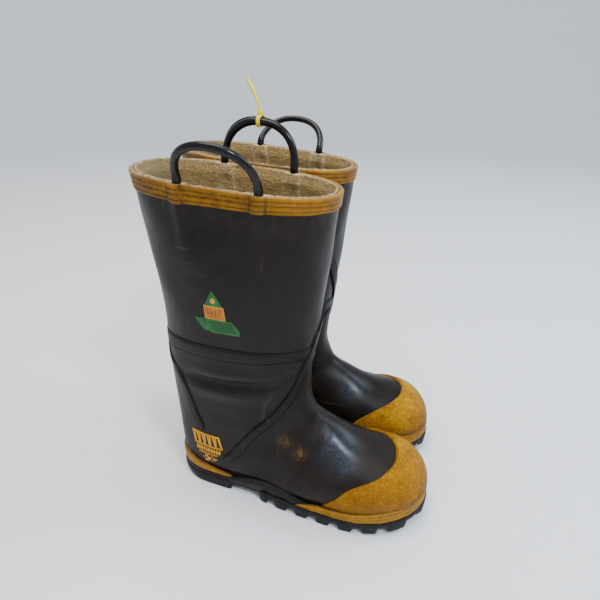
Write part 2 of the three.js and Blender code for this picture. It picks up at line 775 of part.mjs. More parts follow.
// Cable tie round both inner handles: a strap loop, a head and a tail that stands up.
function cableTie() {
  const a = handleTop("right", right);
  const b = handleTop("left", left);
  const middle = a.clone().add(b).multiplyScalar(0.5);
  const halfGap = (b.y - a.y) / 2;
  const { thickness, halfWidth } = TIE;
  const clear = HANDLE_RADIUS + TIE.clear;
  const turns = 24;
  const corner = (turn, radius, x) => {
    const angle = ((turn + 0.5) / turns) * 2 * Math.PI;
    const y = Math.sign(Math.cos(angle)) * halfGap + radius * Math.cos(angle);
    return new THREE.Vector3(x, y, radius * Math.sin(angle));
  };
  const sections = range(0, turns - 1, turns - 1).map((turn) => [
    corner(turn, clear + thickness, -halfWidth),
    corner(turn, clear + thickness, halfWidth),
    corner(turn, clear, halfWidth),
    corner(turn, clear, -halfWidth),
  ]);
  const loop = bar(sections, true);
  const headBase = clear + thickness - 0.4;
  const [length, width, height] = TIE.head;
  const head = box([-length / 2, -width / 2, headBase], [length / 2, width / 2, headBase + height]);
  const tailBack = range(0, 1, 8).map((t) => {
    return new THREE.Vector2(-1.5 - 13 * t ** 1.4, headBase + height - 0.5 + TIE.tail * t);
  });
  const tailFront = tailBack.map((p) => new THREE.Vector2(p.x + thickness, p.y + 0.4)).reverse();
  const outline = new THREE.Shape([...tailBack, ...tailFront]);
  const tail = new THREE.ExtrudeGeometry(outline, { depth: 4, bevelEnabled: false });
  tail.translate(0, 0, -2).rotateX(Math.PI / 2);
  return join(loop, head, tail).translate(middle.x, middle.y, middle.z);
}
pair.add(mesh("cable_tie", cableTie(), TIE_YELLOW));

// The frame's origin is the middle of the pair's footprint, on the floor.
const extent = new THREE.Box3().setFromObject(pair, true);
pair.position.set(-(extent.min.x + extent.max.x) / 2, -(extent.min.y + extent.max.y) / 2, 0);

export default pair;
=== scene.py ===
import math

import bmesh
import bpy
import numpy as np
from mathutils import Matrix, Vector


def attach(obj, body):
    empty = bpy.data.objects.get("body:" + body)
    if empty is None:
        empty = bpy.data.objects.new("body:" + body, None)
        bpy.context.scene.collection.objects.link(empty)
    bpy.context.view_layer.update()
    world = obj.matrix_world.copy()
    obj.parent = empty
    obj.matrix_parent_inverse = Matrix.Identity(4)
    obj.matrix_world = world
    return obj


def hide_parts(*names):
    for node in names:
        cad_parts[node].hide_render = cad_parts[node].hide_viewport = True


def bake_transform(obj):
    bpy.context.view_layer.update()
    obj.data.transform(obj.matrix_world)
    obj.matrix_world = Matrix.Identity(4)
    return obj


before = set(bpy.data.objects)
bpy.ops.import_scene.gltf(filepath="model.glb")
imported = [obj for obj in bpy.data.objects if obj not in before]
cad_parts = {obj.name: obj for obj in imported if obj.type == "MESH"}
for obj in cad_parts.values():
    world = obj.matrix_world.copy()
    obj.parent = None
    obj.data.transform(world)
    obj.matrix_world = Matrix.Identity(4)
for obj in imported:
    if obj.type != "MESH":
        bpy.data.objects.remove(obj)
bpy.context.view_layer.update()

# Lengths in the dictionaries are millimetres in one boot's own frame: heel at x 0, toes at +x, outer
# side at -y, floor at z 0. placePoints turns them into metres in the frame of the pair.
pair = {
    "spacing": 111,
    "stagger": 5,
    "toeIn": 0.5,
    "middle": 144.452,
    "aside": -4.599,
}

# The upper is a stack of cross-sections from the rim, over the ankle, to the toes
upper = {
    "at": [0, 0.16, 0.32, 0.43, 0.53, 0.63, 0.72, 0.81, 0.9],
    "frontX": [186.5, 181, 173, 166, 164, 173, 202, 234, 264],
    "frontZ": [365, 312, 238, 186, 148, 116, 97, 82, 75],
    "backX": [-16.5, -8, 1, 0, 3, 14, 72, 140, 200],
    "backZ": [377, 312, 226, 158, 88, 18, 15.2, 15.2, 15.2],
    "centre": [0.5, 0.5, 0.5, 0.5, 0.48, 0.42, 0.42, 0.42, 0.42],
    "outer": [52, 53.5, 50, 44.5, 41, 41, 44, 54, 59],
    "inner": [52, 53.5, 50, 44.5, 41, 39.5, 41, 45, 47],
    "frontPower": [2.35, 2.25, 2.2, 2.1, 2.1, 2.1, 2.1, 2.1, 2.2],
    "backPower": [2.35, 2.25, 2.2, 2.2, 2.3, 3, 3.4, 3.6, 3.4],
    "dome": 0.9,
    "tip": (304, 36),
    "legLength": 345,
    "end": 0.9985,
    "legEnd": 0.44,
}


def placePoints(points, side):
    # The left boot is the right one mirrored in y, turned the other way and stood beside it.
    sign = 1 if side == "right" else -1
    turn = math.radians(pair["toeIn"]) * sign
    x, y, z = points[..., 0], points[..., 1] * sign, points[..., 2]
    acrossX = x * math.cos(turn) - y * math.sin(turn)
    acrossY = x * math.sin(turn) + y * math.cos(turn)
    moved = np.stack(
        [
            acrossX + sign * pair["stagger"] / 2 - pair["middle"],
            acrossY - sign * pair["spacing"] / 2 + pair["aside"],
            z,
        ],
        -1,
    )
    return moved / 1000


def throughPoints(knots, values, x):
    # A cubic through the knots whose slopes are the harmonic means of the slopes beside them.
    knots, values = np.asarray(knots, float), np.asarray(values, float)
    step = np.diff(knots)
    slope = np.diff(values) / step
    before, after = 2 * step[1:] + step[:-1], step[1:] + 2 * step[:-1]
    sameWay = slope[1:] * slope[:-1] > 0
    safe = np.where(slope == 0, 1, slope)
    harmonic = (before + after) / (before / safe[:-1] + after / safe[1:])
    tangent = np.concatenate([slope[:1], np.where(sameWay, harmonic, 0), slope[-1:]])
    i = np.clip(np.searchsorted(knots, x) - 1, 0, len(step) - 1)
    h, t = step[i], (x - knots[i]) / step[i]
    return (
        (2 * t**3 - 3 * t**2 + 1) * values[i]
        + (t**3 - 2 * t**2 + t) * h * tangent[i]
        + (3 * t**2 - 2 * t**3) * values[i + 1]
        + (t**3 - t**2) * h * tangent[i + 1]
    )


def smoothStep(low, high, x):
    t = np.clip((x - low) / (high - low), 0, 1)
    return t * t * (3 - 2 * t)


def upperPoint(s, angle):
    # Point of the section at s: its middle, plus a squared ellipse that reaches the front and back
    # points and the two side widths. Past the dome the sections close on the toe tip as a quarter
    # circle does.
    s, angle = np.broadcast_arrays(np.asarray(s, float), np.asarray(angle, float))
    held = np.minimum(s, upper["dome"])
    read = lambda key: throughPoints(upper["at"], upper[key], held)
    dome = np.clip((s - upper["dome"]) / (1 - upper["dome"]), 0, 1) * np.pi / 2
    closing, reach = np.cos(dome), np.sin(dome)
    tipX, tipZ = upper["tip"]
    frontX = read("frontX") + (tipX - read("frontX")) * reach
    backX = read("backX") + (tipX - read("backX")) * reach
    frontZ = tipZ + (read("frontZ") - tipZ - 3 * reach) * closing
    backZ = tipZ + (read("backZ") - tipZ) * closing
    narrowing = np.maximum(closing, 0) ** 0.9 + 0.04 * reach * closing
    centre = read("centre")
    midX, midZ = backX + (frontX - backX) * centre, backZ + (frontZ - backZ) * centre
    cosine, sine = np.cos(angle), np.sin(angle)
    isFront = cosine > 0
    power = np.where(isFront, read("frontPower"), read("backPower"))
    share = np.abs(cosine) ** (2 / power)
    aside = np.sign(sine) * np.abs(sine) ** (2 / power)
    width = np.where(sine < 0, read("outer"), read("inner")) * narrowing
    endX, endZ = np.where(isFront, frontX, backX), np.where(isFront, frontZ, backZ)
    return np.stack([midX + (endX - midX) * share, aside * width, midZ + (endZ - midZ) * share], -1)


def upperSlopes(s, angle):
    # Central differences of the surface along the leg and round it.
    e = 0.002
    low, high = np.clip(s - e, 0, None), np.clip(s + e, None, upper["end"])
    alongLeg = (upperPoint(high, angle) - upperPoint(low, angle)) / (high - low)[..., None]
    turning = (upperPoint(s, angle + e) - upperPoint(s, angle - e)) / (2 * e)
    return alongLeg, turning


def unit(v):
    return v / np.maximum(np.linalg.norm(v, axis=-1, keepdims=True), 1e-12)


# shift is how far a handle's middle is ahead of the rim's middle, lean is inwards for each unit of
# rise, and footAngles are the handle feet as angles round the rim. The rubber stands out by bulge over a
# handle's leg and sinks by hollow between its two legs.
handles = {
    "spread": 76,
    "rise": 40,
    "radius": 3.7,
    "wall": -4.2,
    "footRise": 4.4,
    "squareness": 2.25,
    "softness": 5,
    "legDrop": 16,
    "legLean": 0.03,
    "sides": 28,
    "bulge": 2.3,
    "bulgeHalfWidth": 6.2,
    "hollow": 2.2,
    "shift": {"right": {"outer": 2, "inner": 8}, "left": {"outer": 12, "inner": 8}},
    "lean": {"right": {"outer": -0.58, "inner": 0.131}, "left": {"outer": -1.1, "inner": 0.131}},
    "footAngles": {"right": {}, "left": {}},
}
wallSides = {"outer": -1, "inner": 1}
rimHalfLength = (upper["frontX"][0] - upper["backX"][0]) / 2
for side in ("right", "left"):
    for place, sideSign in wallSides.items():
        for endSign in (-1, 1):
            offset = handles["shift"][side][place] + endSign * handles["spread"] / 2
            share = (abs(offset) / rimHalfLength) ** (upper["frontPower"][0] / 2)
            footAngle = sideSign * math.acos(math.copysign(share, offset))
            handles["footAngles"][side][(place, endSign)] = footAngle

# Soft folds: points along each fold, its depth and its half width
folds = {
    "right": [
        ([(30, -33, 158), (50, -41, 159), (79, -43, 159), (112, -41, 160), (146, -28, 163)], 4.4, 5.2),
        ([(26, -30, 172), (60, -43, 174), (100, -43, 175), (140, -32, 176)], -1.7, 7.0),
        ([(26, -30, 143), (60, -42, 144), (100, -41, 144), (138, -31, 146)], -1.5, 6.5),
        ([(185, -12, 103), (176, -33, 82), (168, -44, 64), (160, -48, 46)], 2.1, 2.3),
        ([(192, -14, 102), (184, -36, 80), (177, -46, 62)], -0.9, 4.0),
        ([(150, -36, 96), (158, -38, 84), (160, -40, 70)], 0.8, 3),
        ([(150, 22, 128), (163, 33, 108), (160, 39, 88)], 1.4, 4),
        ([(30, 36, 140), (70, 43, 148), (120, 40, 152)], 1.8, 7),
        ([(60, -42, 118), (84, -42, 112), (104, -41, 112)], 0.8, 6),
    ],
    "left": [
        ([(30, -34, 150), (62, -43, 152), (100, -42, 154), (138, -30, 158)], 3.6, 5.5),
        ([(30, -34, 165), (62, -43, 167), (100, -42, 169), (138, -30, 173)], -1.4, 7),
        ([(182, -16, 100), (173, -34, 82), (166, -41, 70)], 1.9, 2.6),
        ([(30, 36, 146), (66, 43, 152), (108, 41, 154), (140, 29, 158)], 2.4, 7),
        ([(148, 24, 130), (166, 34, 106), (162, 39, 84)], 1.5, 3.6),
    ],
}


def lineDistance(points, line):
    # Shortest distance from each point to a polyline, and how far along it that is, from 0 to 1.
    line = np.asarray(line, float)
    best = np.full(points.shape[:-1], 1e9)
    where = np.zeros(points.shape[:-1])
    count = len(line) - 1
    for i in range(count):
        a, d = line[i], line[i + 1] - line[i]
        t = np.clip(((points - a) @ d) / (d @ d), 0, 1)
        gap = np.linalg.norm(points - (a + t[..., None] * d), axis=-1)
        where = np.where(gap < best, (i + t) / count, where)
        best = np.minimum(gap, best)
    return best, where


def relief(s, angle, side):
    # How far the rubber stands off the plain surface, in millimetres: a bulge over each handle leg,
    # flatter stretches between the legs, soft folds at the ankle and the unevenness of old rubber.
    points = upperPoint(s, angle)
    turning = np.linalg.norm(upperSlopes(s, angle)[1], axis=-1)
    lift = np.zeros(points.shape[:-1])
    turned = (angle + np.pi) % (2 * np.pi) - np.pi
    feet = handles["footAngles"][side]
    for foot in feet.values():
        across = (turned - foot) * turning
        bulge = np.exp(-((across / handles["bulgeHalfWidth"]) ** 2))
        lift += handles["bulge"] * bulge * (1 - smoothStep(0.09, 0.2, s))
    for place in wallSides:
        rear, front = feet[(place, -1)], feet[(place, 1)]
        between = (turned - (rear + front) / 2) / ((rear - front) / 2)
        lift -= handles["hollow"] * np.clip(1 - between**2, 0, 1) * (1 - smoothStep(0, 0.24, s))
    for line, depth, width in folds[side]:
        gap, where = lineDistance(points, line)
        ends = np.sin(np.pi * np.clip(where, 0.04, 0.96)) ** 0.6
        lift -= depth * ends * np.exp(-((gap / width) ** 2))
        knots = np.array(sorted(line))
        below = points[..., 2] < np.interp(points[..., 0], knots[:, 0], knots[:, 2])
        lift += 0.25 * depth * ends * np.exp(-(((gap - 1.8 * width) / width) ** 2)) * below
    shift = 0.0 if side == "right" else 2.1
    uneven = np.sin(5.1 * turned + 21 * s + shift) * np.sin(17 * s + 1.3 + shift)
    uneven = uneven + 0.5 * np.sin(9.3 * turned - 33 * s + 2 * shift)
    lift += 0.45 * uneven * smoothStep(0, 0.1, s) * (1 - smoothStep(0.8, 0.9, s))
    return lift


def onBoot(s, angle, lift, side, smoothBase=False):
    # The surface moved outwards along its normal. Above the rim it goes straight on up the leg.
    s, angle, lift = np.broadcast_arrays(*(np.asarray(v, float) for v in (s, angle, lift)))
    held = np.clip(s, 0, upper["end"])
    alongLeg, turning = upperSlopes(np.minimum(held, 0.995), angle)
    normal = unit(np.cross(alongLeg, turning))
    total = lift if smoothBase else lift + relief(held, angle, side)
    above = (s - held)[..., None] * upper["legLength"]
    return upperPoint(held, angle) + normal * total[..., None] + unit(alongLeg) * np.where(
        above < 0, above, 0
    )


def makePiece(name, points, faces, material, uv=None, marks=None, sharp=35):
    # Puts points and four-cornered or three-cornered faces into a mesh that faces outwards.
    triangles = np.concatenate([faces[:, [0, 1, 2]], faces[:, [0, 2, 3]]])
    triangles = triangles[triangles[:, 1] != triangles[:, 2]]
    a, b, c = (points[triangles[:, k]] for k in range(3))
    if (a * np.cross(b, c)).sum() < 0:
        faces = faces[:, ::-1]
        uv = None if uv is None else uv[:, ::-1]
    isQuad = faces[:, 0] != faces[:, 3]
    quads, tris = faces[isQuad], faces[~isQuad][:, :3]
    mesh = bpy.data.meshes.new(name)
    mesh.from_pydata(points.tolist(), [], quads.tolist() + tris.tolist())
    if uv is not None:
        flatUv = np.concatenate([uv[isQuad].reshape(-1, 2), uv[~isQuad][:, :3].reshape(-1, 2)])
        layer = mesh.uv_layers.new(name="surface")
        layer.data.foreach_set("uv", flatUv.astype(np.float32).ravel())
    for key, values in (marks or {}).items():
        attribute = mesh.attributes.new(key, "FLOAT", "POINT")
        attribute.data.foreach_set("value", np.asarray(values, np.float32).ravel())
    mesh.polygons.foreach_set("use_smooth", np.ones(len(mesh.polygons), bool))
    mesh.set_sharp_from_angle(angle=math.radians(sharp))
    mesh.materials.append(material)
    mesh.validate()
    mesh.update()
    made = bpy.data.objects.new(name, mesh)
    bpy.context.scene.collection.objects.link(made)
    return made


def ringFaces(rows, columns, loop):
    # Faces of a grid whose columns close on themselves, and whose rows do too if it is a loop. A row
    # that doesn't close is ended with a fan to one more point.
    i, j = np.meshgrid(np.arange(rows if loop else rows - 1), np.arange(columns), indexing="ij")
    at = lambda r, c: (r % rows) * columns + c % columns
    faces = np.stack([at(i, j), at(i + 1, j), at(i + 1, j + 1), at(i, j + 1)], -1).reshape(-1, 4)
    corners = np.stack(
        [np.stack([r, c], -1) for r, c in ((i, j), (i + 1, j), (i + 1, j + 1), (i, j + 1))], -2
    )
    corners = corners.reshape(-1, 4, 2)
    if not loop:
        k = np.arange(columns)
        first, last = rows * columns, rows * columns + 1
        start = np.stack([np.full(columns, first), at(0, k), at(0, k + 1), np.full(columns, first)], -1)
        end = np.stack(
            [np.full(columns, last), at(rows - 1, k + 1), at(rows - 1, k), np.full(columns, last)],
            -1,
        )
        faces = np.concatenate([faces, start, end])
        row = lambda r: np.full(columns, r)
        startCorners = np.stack([np.stack([row(0), c], -1) for c in (k, k, k + 1, k)], -2)
        endCorners = np.stack([np.stack([row(rows - 1), c], -1) for c in (k, k + 1, k, k)], -2)
        corners = np.concatenate([corners, startCorners, endCorners])
    return faces, corners


def loft(name, grid, side, material, loop=False, uv=None, marks=None, sharp=35):
    # A closed piece through rings of points: grid is rows by columns by 3.
    rows, columns = grid.shape[:2]
    faces, corners = ringFaces(rows, columns, loop)
    points = grid.reshape(-1, 3)
    extra = {}
    if not loop:
        points = np.concatenate([points, grid[[0]].mean(1), grid[[-1]].mean(1)])
    for key, values in (marks or {}).items():
        flat = np.broadcast_to(values, (rows, columns)).reshape(-1)
        if not loop:
            flat = np.concatenate([flat, [values[0].mean(), values[-1].mean()]])
        extra[key] = flat
    uvCorners = None
    if uv is not None:
        # uv is given per row and per column, with one more of each that closes
        uvCorners = uv[corners[..., 0], corners[..., 1]]
    return makePiece(name, placePoints(points, side), faces, material, uvCorners, extra, sharp)


def surfaceUv(rowLengths, columnLengths):
    # A map in tenths of a metre, so that a pattern has the same size on every piece.
    u, v = np.meshgrid(columnLengths, rowLengths)
    return np.stack([u, v], -1) / 100


def addNode(tree, kind, inputs=None, **settings):
    made = tree.nodes.new(kind)
    for key, value in settings.items():
        setattr(made, key, value)
    for key, value in (inputs or {}).items():
        socket = made.inputs[key]
        if isinstance(value, bpy.types.NodeSocket):
            tree.links.new(value, socket)
        else:
            socket.default_value = value
    return made


def mathNode(tree, operation, a, b=0.5, clamp=False):
    return addNode(tree, "ShaderNodeMath", {0: a, 1: b}, operation=operation, use_clamp=clamp).outputs[0]


def times(tree, a, b, clamp=False):
    return mathNode(tree, "MULTIPLY", a, b, clamp)


def rangeNode(tree, value, low, high, outLow=0.0, outHigh=1.0):
    inputs = {"Value": value, "From Min": low, "From Max": high, "To Min": outLow, "To Max": outHigh}
    return addNode(tree, "ShaderNodeMapRange", inputs).outputs["Result"]


def mixColours(tree, share, a, b):
    made = addNode(tree, "ShaderNodeMix", data_type="RGBA")
    for index, value in ((0, share), (6, a), (7, b)):
        if isinstance(value, bpy.types.NodeSocket):
            tree.links.new(value, made.inputs[index])
        elif index == 0:
            made.inputs[0].default_value = value
        else:
            made.inputs[index].default_value = (*value, 1)
    return made.outputs[2]


def tinted(tree, colour, mask, strength, ink):
    # Lays a colour over another one through a mask, at a strength.
    return mixColours(tree, times(tree, mask, strength), colour, ink)


def noiseNode(tree, vector, scale, detail=4.0, roughness=0.55):
    inputs = {"Vector": vector, "Scale": scale, "Detail": detail, "Roughness": roughness}
    return addNode(tree, "ShaderNodeTexNoise", inputs).outputs["Fac"]


def stretched(tree, vector, scale, turn=(0, 0, 0)):
    inputs = {"Vector": vector, "Scale": scale, "Rotation": turn}
    return addNode(tree, "ShaderNodeMapping", inputs).outputs["Vector"]


def startGroup(name, given, outputs):
    # Inputs are a vector where the value is None and numbers elsewhere, and outputs are numbers.
    group = bpy.data.node_groups.new(name, "ShaderNodeTree")
    for label, start in given.items():
        kind = "NodeSocketVector" if start is None else "NodeSocketFloat"
        socket = group.interface.new_socket(name=label, in_out="INPUT", socket_type=kind)
        if start is not None:
            socket.default_value = start
    for label in outputs:
        group.interface.new_socket(name=label, in_out="OUTPUT", socket_type="NodeSocketFloat")
    return group, group.nodes.new("NodeGroupInput").outputs, group.nodes.new("NodeGroupOutput").inputs


def warped(tree, vector, scale, detail, amount):
    # Moves a vector by a coloured noise.
    warp = addNode(tree, "ShaderNodeTexNoise", {"Vector": vector, "Scale": scale, "Detail": detail})
    bent = addNode(
        tree, "ShaderNodeVectorMath", {0: warp.outputs["Color"], 1: (amount,) * 3}, operation="MULTIPLY"
    )
    return addNode(tree, "ShaderNodeVectorMath", {0: vector, 1: bent.outputs[0]}, operation="ADD").outputs[0]


def makeScratches():
    # Hairline marks in three directions: noise squeezed into streaks, kept only at its crests, and
    # broken up by a coarser noise.
    group, given, result = startGroup(
        "hairlineMarks", {"Vector": None, "Scale": 1.0, "Spread": 0.5}, ["Mask"]
    )
    masks = []
    turns = ((0.3, 0.5, 0.9), (0.2, -0.7, -0.4), (1.1, 0.2, 0.3))
    for turn, squeeze in zip(turns, ((260, 9, 11), (9, 240, 12), (12, 10, 250))):
        scaled = addNode(group, "ShaderNodeVectorMath", {0: given["Vector"]}, operation="SCALE")
        group.links.new(given["Scale"], scaled.inputs["Scale"])
        streaks = noiseNode(group, stretched(group, scaled.outputs[0], squeeze, turn), 1.0, 2.0)
        crest = rangeNode(group, streaks, 0.66, 0.72)
        broken = noiseNode(group, stretched(group, scaled.outputs[0], (14, 14, 14), turn), 1.0, 1.0)
        spread = mathNode(group, "SUBTRACT", broken, times(group, given["Spread"], -0.2))
        kept = rangeNode(group, spread, 0.6, 0.75)
        masks.append(times(group, crest, kept))
    most = mathNode(group, "MAXIMUM", mathNode(group, "MAXIMUM", masks[0], masks[1]), masks[2])
    group.links.new(most, result["Mask"])
    return group


def makeTone():
    # Slow blotches with finer ones on top, from 0 to 1.
    group, given, result = startGroup(
        "blotchyTone", {"Vector": None, "Scale": 20.0, "Contrast": 1.0}, ["Value"]
    )
    coarse = noiseNode(group, given["Vector"], given["Scale"], 3.0)
    fine = noiseNode(group, given["Vector"], times(group, given["Scale"], 6.3), 5.0, 0.65)
    both = mathNode(group, "ADD", times(group, coarse, 0.65), times(group, fine, 0.35))
    centred = times(group, mathNode(group, "SUBTRACT", both, 0.5), times(group, given["Contrast"], 3.2))
    group.links.new(mathNode(group, "ADD", centred, 0.5, clamp=True), result["Value"])
    return group


def makePebbles():
    # Rounded cells with narrow cracks between them, crumpled by noise so that no two are alike.
    group, given, result = startGroup("pebbledSkin", {"Vector": None, "Scale": 700.0}, ["Height", "Cracks"])
    moved = warped(group, given["Vector"], 320.0, 2.0, 0.0035)

    def edges(scale):
        inputs = {"Vector": moved, "Scale": scale}
        cell = addNode(group, "ShaderNodeTexVoronoi", inputs, feature="DISTANCE_TO_EDGE")
        return cell.outputs["Distance"]

    near = edges(given["Scale"])
    cracks = rangeNode(group, near, 0.0, 0.16, 1.0, 0.0)
    wide = rangeNode(group, edges(times(group, given["Scale"], 0.36)), 0.0, 0.06, 1.0, 0.0)
    rounded = rangeNode(group, near, 0.0, 0.35)
    height = mathNode(group, "SUBTRACT", rounded, times(group, wide, 0.8))
    group.links.new(height, result["Height"])
    group.links.new(mathNode(group, "MAXIMUM", cracks, wide), result["Cracks"])
    return group


def makeDust():
    # Dust lies where the surface faces up, thinned out by noise.
    group, given, result = startGroup(
        "settledDust", {"Vector": None, "Scale": 60.0, "Amount": 0.5}, ["Mask"]
    )
    normal = addNode(group, "ShaderNodeNewGeometry").outputs["Normal"]
    up = addNode(group, "ShaderNodeSeparateXYZ", {0: normal}).outputs["Z"]
    facing = rangeNode(group, up, -0.15, 0.9)
    patchy = rangeNode(group, noiseNode(group, given["Vector"], given["Scale"], 6.0, 0.7), 0.42, 0.7)
    mask = times(group, times(group, facing, patchy), given["Amount"], clamp=True)
    group.links.new(mask, result["Mask"])
    return group


def makeFleece():
    # Knitted loops: rows of small soft bumps along the cloth, roughened by fibres.
    group, given, result = startGroup("fleeceLoops", {"Vector": None, "Scale": 60.0}, ["Height", "Tone"])
    moved = warped(group, given["Vector"], 30.0, 3.0, 0.022)
    inputs = {"Vector": stretched(group, moved, (1, 1.35, 1)), "Scale": given["Scale"]}
    loops = addNode(group, "ShaderNodeTexVoronoi", inputs)
    bumps = rangeNode(group, loops.outputs["Distance"], 0.0, 0.75, 1.0, 0.0)
    fibres = noiseNode(group, moved, times(group, given["Scale"], 4.0), 4.0, 0.7)
    height = mathNode(group, "ADD", bumps, times(group, fibres, 0.5))
    cell = addNode(group, "ShaderNodeSeparateColor", {0: loops.outputs["Color"]}).outputs[0]
    tone = mathNode(group, "ADD", times(group, bumps, 0.62), times(group, cell, 0.38))
    group.links.new(height, result["Height"])
    group.links.new(tone, result["Tone"])
    return group


scratchGroup, toneGroup, pebbleGroup = makeScratches(), makeTone(), makePebbles()
dustGroup, fleeceGroup = makeDust(), makeFleece()


def groupNode(tree, group, inputs):
    made = addNode(tree, "ShaderNodeGroup", node_tree=group)
    for key, value in inputs.items():
        if isinstance(value, bpy.types.NodeSocket):
            tree.links.new(value, made.inputs[key])
        else:
            made.inputs[key].default_value = value
    return made.outputs


def startMaterial(name, roughness, metallic=0.0, specular=0.5, sheen=0.0):
    material = bpy.data.materials.new(name)
    material.use_nodes = True
    tree = material.node_tree
    shader = tree.nodes["Principled BSDF"]
    shader.inputs["Roughness"].default_value = roughness
    shader.inputs["Metallic"].default_value = metallic
    shader.inputs["Specular IOR Level"].default_value = specular
    shader.inputs["Sheen Weight"].default_value = sheen
    place = addNode(tree, "ShaderNodeTexCoord").outputs
    return material, tree, shader, place


def toneNode(tree, vector, scale, contrast):
    return groupNode(tree, toneGroup, {"Vector": vector, "Scale": scale, "Contrast": contrast})["Value"]


def linesNode(tree, vector, scale, spread):
    return groupNode(tree, scratchGroup, {"Vector": vector, "Scale": scale, "Spread": spread})["Mask"]


def blotsNode(tree, vector, scale, detail, roughness, low, high):
    # A noise cut to a mask between two of its levels.
    return rangeNode(tree, noiseNode(tree, vector, scale, detail, roughness), low, high)


def attributeNode(tree, name):
    return addNode(tree, "ShaderNodeAttribute", attribute_name=name).outputs["Fac"]


def bumpInto(tree, shader, layers):
    # Each layer is a height, its distance in metres and its strength, laid over the one before.
    normal = None
    for height, distance, strength in layers:
        inputs = {"Height": height, "Distance": distance, "Strength": strength}
        if normal is not None:
            inputs["Normal"] = normal
        normal = addNode(tree, "ShaderNodeBump", inputs).outputs["Normal"]
    tree.links.new(normal, shader.inputs["Normal"])


def rubberMaterial(name, look):
    # Old black rubber: blotchy tone, a brown bloom, pale hairlines, dust and worn, duller patches, and a painted
    # bluish highlight on glossier spots.
    material, tree, shader, place = startMaterial(
        name, look["roughness"], specular=look.get("specular", 0.17)
    )
    where = place["Object"]
    tone = toneNode(tree, where, 14.0, 1.0)
    bloom = toneNode(tree, where, 9.0, 1.4)
    lines = linesNode(tree, where, 1.0, look.get("spread", 0.4))
    dust = groupNode(
        tree, dustGroup, {"Vector": where, "Scale": 55.0, "Amount": look.get("dust", 0.35)}
    )["Mask"]
    colour = mixColours(tree, tone, look["dark"], look["light"])
    colour = tinted(tree, colour, bloom, 0.4, look["brown"])
    specks = rangeNode(tree, noiseNode(tree, where, 900.0, 2.0), 0.68, 0.78)
    colour = tinted(tree, colour, specks, 0.35, look["pale"])
    colour = tinted(tree, colour, lines, look.get("lines", 0.4), look["pale"])
    colour = mixColours(tree, dust, colour, (0.075, 0.06, 0.048))
    rough = rangeNode(tree, tone, 0.0, 1.0, look["roughness"] - 0.08, look["roughness"] + 0.1)
    rough = mathNode(tree, "ADD", rough, times(tree, dust, 0.3))
    if look.get("marks"):
        scuff, glossAndPaintedHighlight, dirtAndShade = (attributeNode(tree, key) for key in ("scuff", "glossAndPaintedHighlight", "dirtAndShade"))
        ragged = blotsNode(tree, stretched(tree, where, (1, 1, 0.35)), 260.0, 5.0, 0.7, 0.38, 0.6)
        colour = tinted(tree, colour, scuff, ragged, (0.16, 0.09, 0.025))
        dirt = blotsNode(tree, where, 90.0, 6.0, 0.7, 0.35, 0.65)
        colour = tinted(tree, colour, dirtAndShade, dirt, (0.045, 0.037, 0.03))
        # Painted highlight: a fine bluish haze laid into the colour on the shine spots, which are also made
        # glossier below.
        fine = blotsNode(tree, where, 620.0, 6.0, 0.75, 0.36, 0.62)
        paintedHighlight = times(tree, glossAndPaintedHighlight, fine)
        colour = tinted(tree, colour, paintedHighlight, 0.45, (0.1, 0.13, 0.18))
        rough = mathNode(tree, "SUBTRACT", rough, times(tree, glossAndPaintedHighlight, 0.2))
    rough = mathNode(tree, "MAXIMUM", mathNode(tree, "MINIMUM", rough, 0.95), 0.12)
    tree.links.new(colour, shader.inputs["Base Color"])
    tree.links.new(rough, shader.inputs["Roughness"])
    grain = noiseNode(tree, where, look.get("grain", 1500.0), 3.0)
    waves = noiseNode(tree, where, 70.0, 3.0)
    grainStrength = look.get("grainStrength", 0.5)
    layers = [(waves, 0.0009, 0.35), (grain, 0.00008, grainStrength), (lines, 0.0001, 0.4)]
    bumpInto(tree, shader, layers)
    return material


def yellowMaterial(name, look):
    # Yellow rubber that has browned in its hollows, where painted shade is laid with the dirt, and paled where it
    # rubs.
    material, tree, shader, place = startMaterial(name, look["roughness"], specular=0.14)
    where = place["Object"]
    tone = toneNode(tree, where, 26.0, 1.1)
    slow = toneNode(tree, where, 11.0, 1.3)
    pebbles = groupNode(tree, pebbleGroup, {"Vector": where, "Scale": look["cells"]})
    lines = linesNode(tree, where, 1.3, 0.8)
    colour = mixColours(tree, tone, look["deep"], look["bright"])
    colour = tinted(tree, colour, slow, look.get("ageing", 0.4), look["aged"])
    colour = tinted(tree, colour, pebbles["Cracks"], look["cracks"], look["soilAndShade"])
    blots = blotsNode(tree, where, 46.0, 7.0, 0.72, 0.56, 0.74)
    colour = tinted(tree, colour, blots, look.get("blots", 0.4), look["soilAndShade"])
    colour = tinted(tree, colour, lines, 0.35, look["soilAndShade"])
    # The grime mask lays the soil colour as painted shade in grooves, creases and joins, mixed with dirt.
    dirtAndShade, worn = attributeNode(tree, "dirtAndShade"), attributeNode(tree, "worn")
    dirt = blotsNode(tree, where, 160.0, 6.0, 0.7, 0.3, 0.62)
    soiledAndShaded = times(tree, dirtAndShade, rangeNode(tree, dirt, 0.0, 1.0, 0.45, 1.0))
    colour = mixColours(tree, soiledAndShaded, colour, look["soilAndShade"])
    flaked = blotsNode(tree, where, 210.0, 5.0, 0.7, 0.4, 0.55)
    colour = tinted(tree, colour, worn, flaked, look["bare"])
    tree.links.new(colour, shader.inputs["Base Color"])
    rough = rangeNode(tree, tone, 0.0, 1.0, look["roughness"] - 0.08, look["roughness"] + 0.1)
    tree.links.new(rough, shader.inputs["Roughness"])
    grain = noiseNode(tree, where, 1400.0, 4.0)
    layers = [(pebbles["Height"], look["depth"], look["bump"]), (grain, 0.0001, 0.5)]
    bumpInto(tree, shader, layers)
    return material


